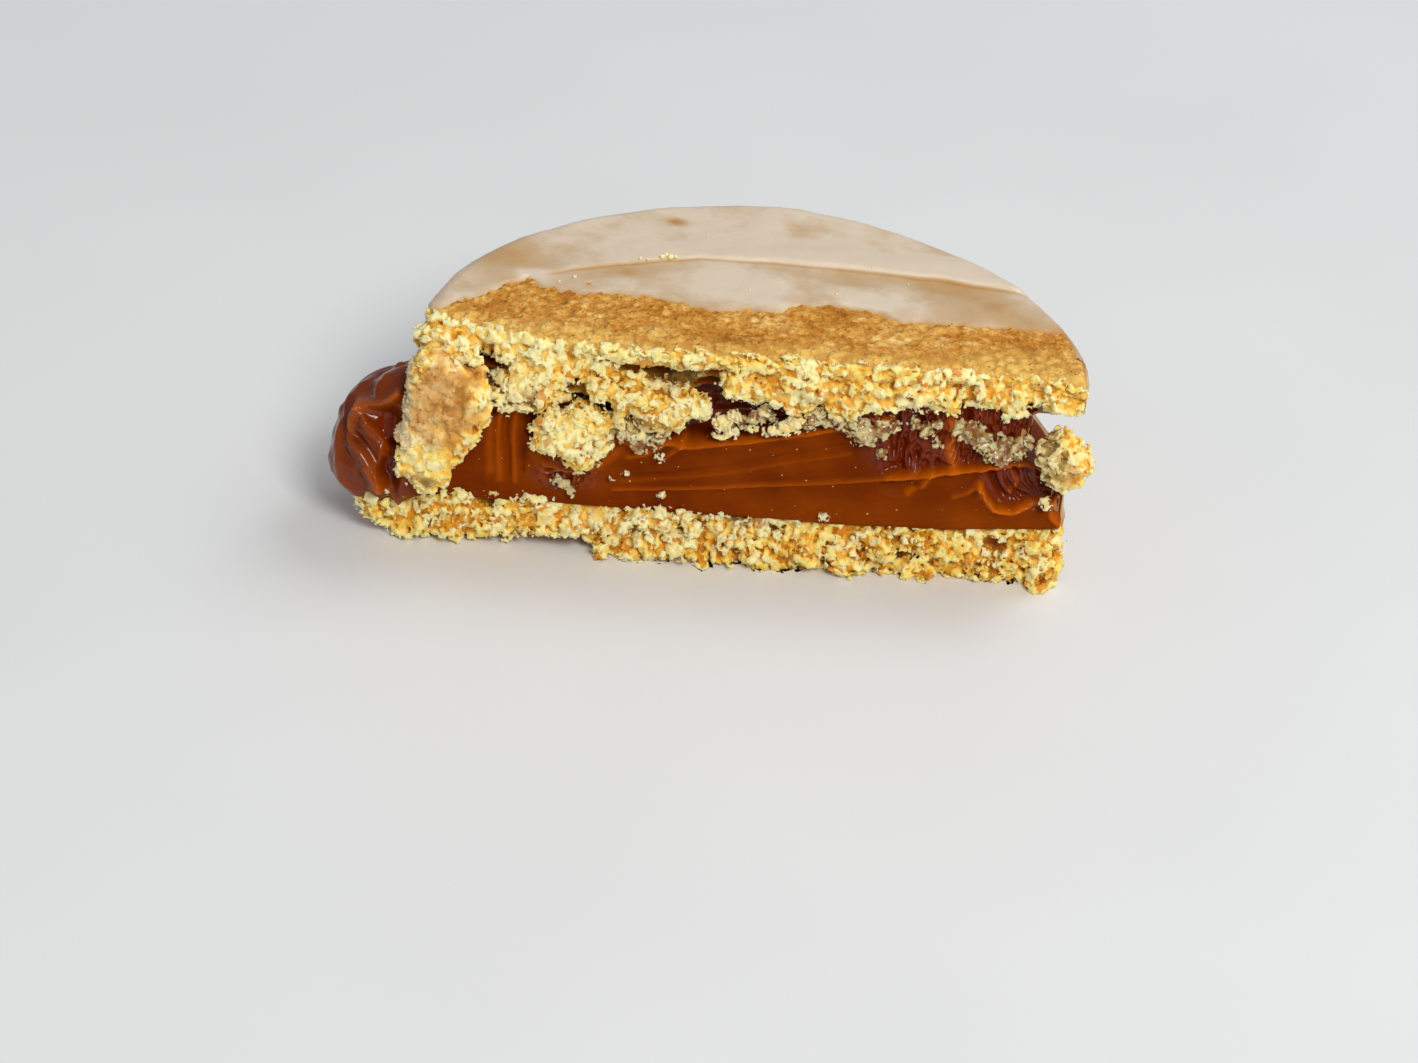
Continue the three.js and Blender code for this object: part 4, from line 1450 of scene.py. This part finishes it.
IMAGE_WIDTH = 1418
IMAGE_HEIGHT = 1063
SENSOR_WIDTH = 36.0
FOCAL_PIXELS = 3834  # focal length in pixels of the image's width
CAMERA_DISTANCE = 400  # from the cookie's top, in millimetres
CAMERA_ROLL = math.radians(5)  # the half leans this much to the right in view
AIM_HEIGHT = 25.5  # the point above the cut's middle that the view is set by
AIM_PIXEL = (756.6, 360.6)  # where that point falls in the image


def place_camera(elevation):
    """Sets the camera by where one point of the cookie falls in the image."""
    lean = Matrix.Rotation(CAMERA_ROLL, 3, "Y").transposed()
    back = lean @ Vector((0, -math.cos(elevation), math.sin(elevation)))
    right = lean @ Vector((1, 0, 0))
    up = back.cross(right)
    straight = Matrix((right, up, back)).transposed()
    offset = Vector(((AIM_PIXEL[0] - IMAGE_WIDTH / 2), (IMAGE_HEIGHT / 2 - AIM_PIXEL[1]), -FOCAL_PIXELS))
    aside = Vector((0, 0, -1)).rotation_difference(offset).to_matrix()
    turn = (straight @ aside.transposed()).to_4x4()
    data = bpy.data.cameras.new("Camera")
    data.sensor_width = SENSOR_WIDTH
    data.lens = FOCAL_PIXELS / IMAGE_WIDTH * SENSOR_WIDTH
    data.clip_start = 0.01
    camera = bpy.data.objects.new("Camera", data)
    camera.matrix_world = Matrix.Translation(at(0, 0, AIM_HEIGHT) + back * CAMERA_DISTANCE * MM) @ turn
    bpy.context.scene.collection.objects.link(camera)
    bpy.context.scene.camera = camera


def area_light(name, place, size, power, colour):
    """A square lamp that shines from its place at the cookie, both in metres."""
    data = bpy.data.lights.new(name, "AREA")
    data.size = size
    data.energy = power
    data.color = linear(colour)
    light = bpy.data.objects.new(name, data)
    way = Vector((0, 0, 0.01)) - Vector(place)
    light.matrix_world = Matrix.Translation(place) @ way.to_track_quat("-Z", "Y").to_matrix().to_4x4()
    bpy.context.scene.collection.objects.link(light)


def stage(settings):
    """The table, two soft lights, a pale room and the camera."""
    table = started(bpy.ops.mesh.primitive_plane_add, size=3.0)
    table.name = "Table"
    table_material(settings)
    table.data.materials.append(bpy.data.materials[LAMINATE])
    area_light("Window", (0.45, 0.25, 0.75), 0.45, settings.window_power, "#FFFFFF")
    area_light("Front", (0.3, -0.75, 0.75), 0.36, settings.front_power, "#FFFCF6")
    world = bpy.data.worlds.new("Room")
    bpy.context.scene.world = world
    world.use_nodes = True
    background = world.node_tree.nodes["Background"]
    background.inputs["Color"].default_value = rgba("#F6F7F9")
    background.inputs["Strength"].default_value = settings.room_light
    bpy.context.scene.view_settings.view_transform = "Standard"
    place_camera(settings.elevation)


# Add-on ----------------------------------------------------------------------------------------------


def colour_setting(name, description, default):
    """A colour that the user can change, with an sRGB hex colour as its default."""
    return bpy.props.FloatVectorProperty(
        name=name, description=description, default=linear(default), subtype="COLOR", size=3, min=0, max=1
    )


def length_setting(name, description, millimetres, most):
    """A length that the user can change, from nothing to the most, both given in millimetres."""
    ends = {"default": millimetres * MM, "min": 0, "max": most * MM}
    return bpy.props.FloatProperty(name=name, description=description, unit="LENGTH", precision=5, **ends)


class BiscuitSettings(bpy.types.PropertyGroup):
    seed: bpy.props.IntProperty(name="Seed", description="Which crumbling the biscuits get", default=4)
    granule_size: length_setting("Granules", "Size of the coarse granules of the crumb", 0.92, 2)
    grain_size: length_setting("Grains", "Size of the fine grains between the granules", 0.42, 1)
    rim_rounding: length_setting("Rim Rounding", "How far the upper rim is rounded", 1.2, 3)
    dome: length_setting("Dome", "How much the top rises towards its middle", 0.6, 0.8)
    # The crumb's four colours are stops from painted shade in the hollows to painted light on the tips.
    crumb_tips: colour_setting("Crumb Tips", "The palest tips of the granules", "#FFECB0")
    crumb_pale: colour_setting("Crumb, Pale", "Granules that stand out", "#FEDA74")
    crumb_middle: colour_setting("Crumb, Middle", "Granules of middle depth", "#E8AA30")
    crumb_hollows: colour_setting("Crumb, Hollows", "The hollows between the granules", "#9E5A06")
    crumb_flecks: colour_setting("Crumb, Flecks", "The few granules that toasted", "#DB8A1A")
    crust_pale: colour_setting("Crust, Pale", "Where the crust baked least", "#F8D284")
    crust_baked: colour_setting("Crust, Baked", "The usual colour of the crust", "#DC9E42")
    crust_dark: colour_setting("Crust, Dark", "Where the crust baked most", "#98560A")


class FillingSettings(bpy.types.PropertyGroup):
    caramel_light: colour_setting("Caramel, Light", "Lighter clouds of the cut filling", "#863800")
    caramel: colour_setting("Caramel", "The usual colour of the cut filling", "#742C00")
    caramel_dark: colour_setting("Caramel, Dark", "Darker clouds of the cut filling", "#642300")
    torn: colour_setting("Torn", "The glossy filling where it was torn", "#6E2000")
    ridges: colour_setting("Ridges", "Thin ridges and folds that light shines through", "#C66006")


class IcingSettings(bpy.types.PropertyGroup):
    thick: colour_setting("Thick", "Where the icing lies thickest", "#DCCBB4")
    milky: colour_setting("Milky", "The usual colour of the icing", "#CBB08E")
    thin: colour_setting("Thin", "Where the crust begins to show through", "#C29D6C")
    sheerest: colour_setting("Sheerest", "Where the icing hardly covers the crust", "#B8874C")


class StageSettings(bpy.types.PropertyGroup):
    table_colour: colour_setting("Table", "The table top", "#E4E6E8")
    window_power: bpy.props.FloatProperty(
        name="Window", description="Power of the light from behind", default=2.6, min=0, unit="POWER"
    )
    front_power: bpy.props.FloatProperty(
        name="Front", description="Power of the light from the front", default=7.6, min=0, unit="POWER"
    )
    room_light: bpy.props.FloatProperty(
        name="Room", description="Strength of the light that the room gives back", default=0.36, min=0
    )
    elevation: bpy.props.FloatProperty(
        name="Elevation", description="How far above the cut the camera stands", default=math.radians(29.7),
        min=0, max=math.radians(85), subtype="ANGLE",
    )


class ALFAJOR_OT_biscuits(bpy.types.Operator):
    """Models the two shortbread biscuits"""

    bl_idname = "alfajor.biscuits"
    bl_label = "Biscuits"

    def execute(self, context):
        settings = context.scene.alfajor_biscuits
        crumb_material(settings)
        crust_material(settings)
        upper_slab(settings)
        upper_crumb(settings)
        lower_biscuit(settings)
        return {"FINISHED"}


class ALFAJOR_OT_broken_pieces(bpy.types.Operator):
    """Models the pieces that broke away from the upper biscuit, and the small crumbs"""

    bl_idname = "alfajor.broken_pieces"
    bl_label = "Broken Pieces"

    def execute(self, context):
        soaked_material()
        for piece in BROKEN_PIECES:
            broken_piece(context.scene.alfajor_biscuits, *piece)
        small_crumbs()
        return {"FINISHED"}


class ALFAJOR_OT_filling(bpy.types.Operator):
    """Models the dulce de leche filling"""

    bl_idname = "alfajor.filling"
    bl_label = "Filling"

    def execute(self, context):
        filling_material(context.scene.alfajor_filling)
        filling()
        return {"FINISHED"}


class ALFAJOR_OT_icing(bpy.types.Operator):
    """Models the sugar icing over the top and the round side"""

    bl_idname = "alfajor.icing"
    bl_label = "Icing"

    def execute(self, context):
        icing_material(context.scene.alfajor_icing)
        icing(context.scene.alfajor_biscuits)
        return {"FINISHED"}


class ALFAJOR_OT_granules(bpy.types.Operator):
    """Strews granules over the broken faces"""

    bl_idname = "alfajor.granules"
    bl_label = "Granules"

    def execute(self, context):
        granules()
        return {"FINISHED"}


class ALFAJOR_OT_stage(bpy.types.Operator):
    """Sets the table, the lights and the camera"""

    bl_idname = "alfajor.stage"
    bl_label = "Stage"

    def execute(self, context):
        stage(context.scene.alfajor_stage)
        return {"FINISHED"}


# The settings by the name that the scene keeps them under, and the operators that read them.
SECTIONS = {
    "alfajor_biscuits": (
        BiscuitSettings,
        (ALFAJOR_OT_biscuits, ALFAJOR_OT_broken_pieces, ALFAJOR_OT_granules),
    ),
    "alfajor_filling": (FillingSettings, (ALFAJOR_OT_filling,)),
    "alfajor_icing": (IcingSettings, (ALFAJOR_OT_icing,)),
    "alfajor_stage": (StageSettings, (ALFAJOR_OT_stage,)),
}


class ALFAJOR_PT_panel(bpy.types.Panel):
    bl_label = "Half Alfajor"
    bl_space_type = "VIEW_3D"
    bl_region_type = "UI"
    bl_category = "Alfajor"

    def draw(self, context):
        for pointer, (group, operators) in SECTIONS.items():
            box = self.layout.box()
            for name in group.__annotations__:
                box.prop(getattr(context.scene, pointer), name)
            for operator in operators:
                box.operator(operator.bl_idname)


def all_classes():
    """Every class that Blender has to know."""
    groups = [group for group, _ in SECTIONS.values()]
    operators = [operator for _, some in SECTIONS.values() for operator in some]
    return [*groups, *operators, ALFAJOR_PT_panel]


def register():
    for cls in all_classes():
        bpy.utils.register_class(cls)
    for pointer, (group, _) in SECTIONS.items():
        setattr(bpy.types.Scene, pointer, bpy.props.PointerProperty(type=group))


def unregister():
    for pointer in SECTIONS:
        delattr(bpy.types.Scene, pointer)
    for cls in reversed(all_classes()):
        bpy.utils.unregister_class(cls)


def main():
    register()
    bpy.ops.alfajor.biscuits()
    bpy.ops.alfajor.broken_pieces()
    bpy.ops.alfajor.filling()
    bpy.ops.alfajor.icing()
    bpy.ops.alfajor.granules()
    bpy.ops.alfajor.stage()


if __name__ == "__main__":
    main()
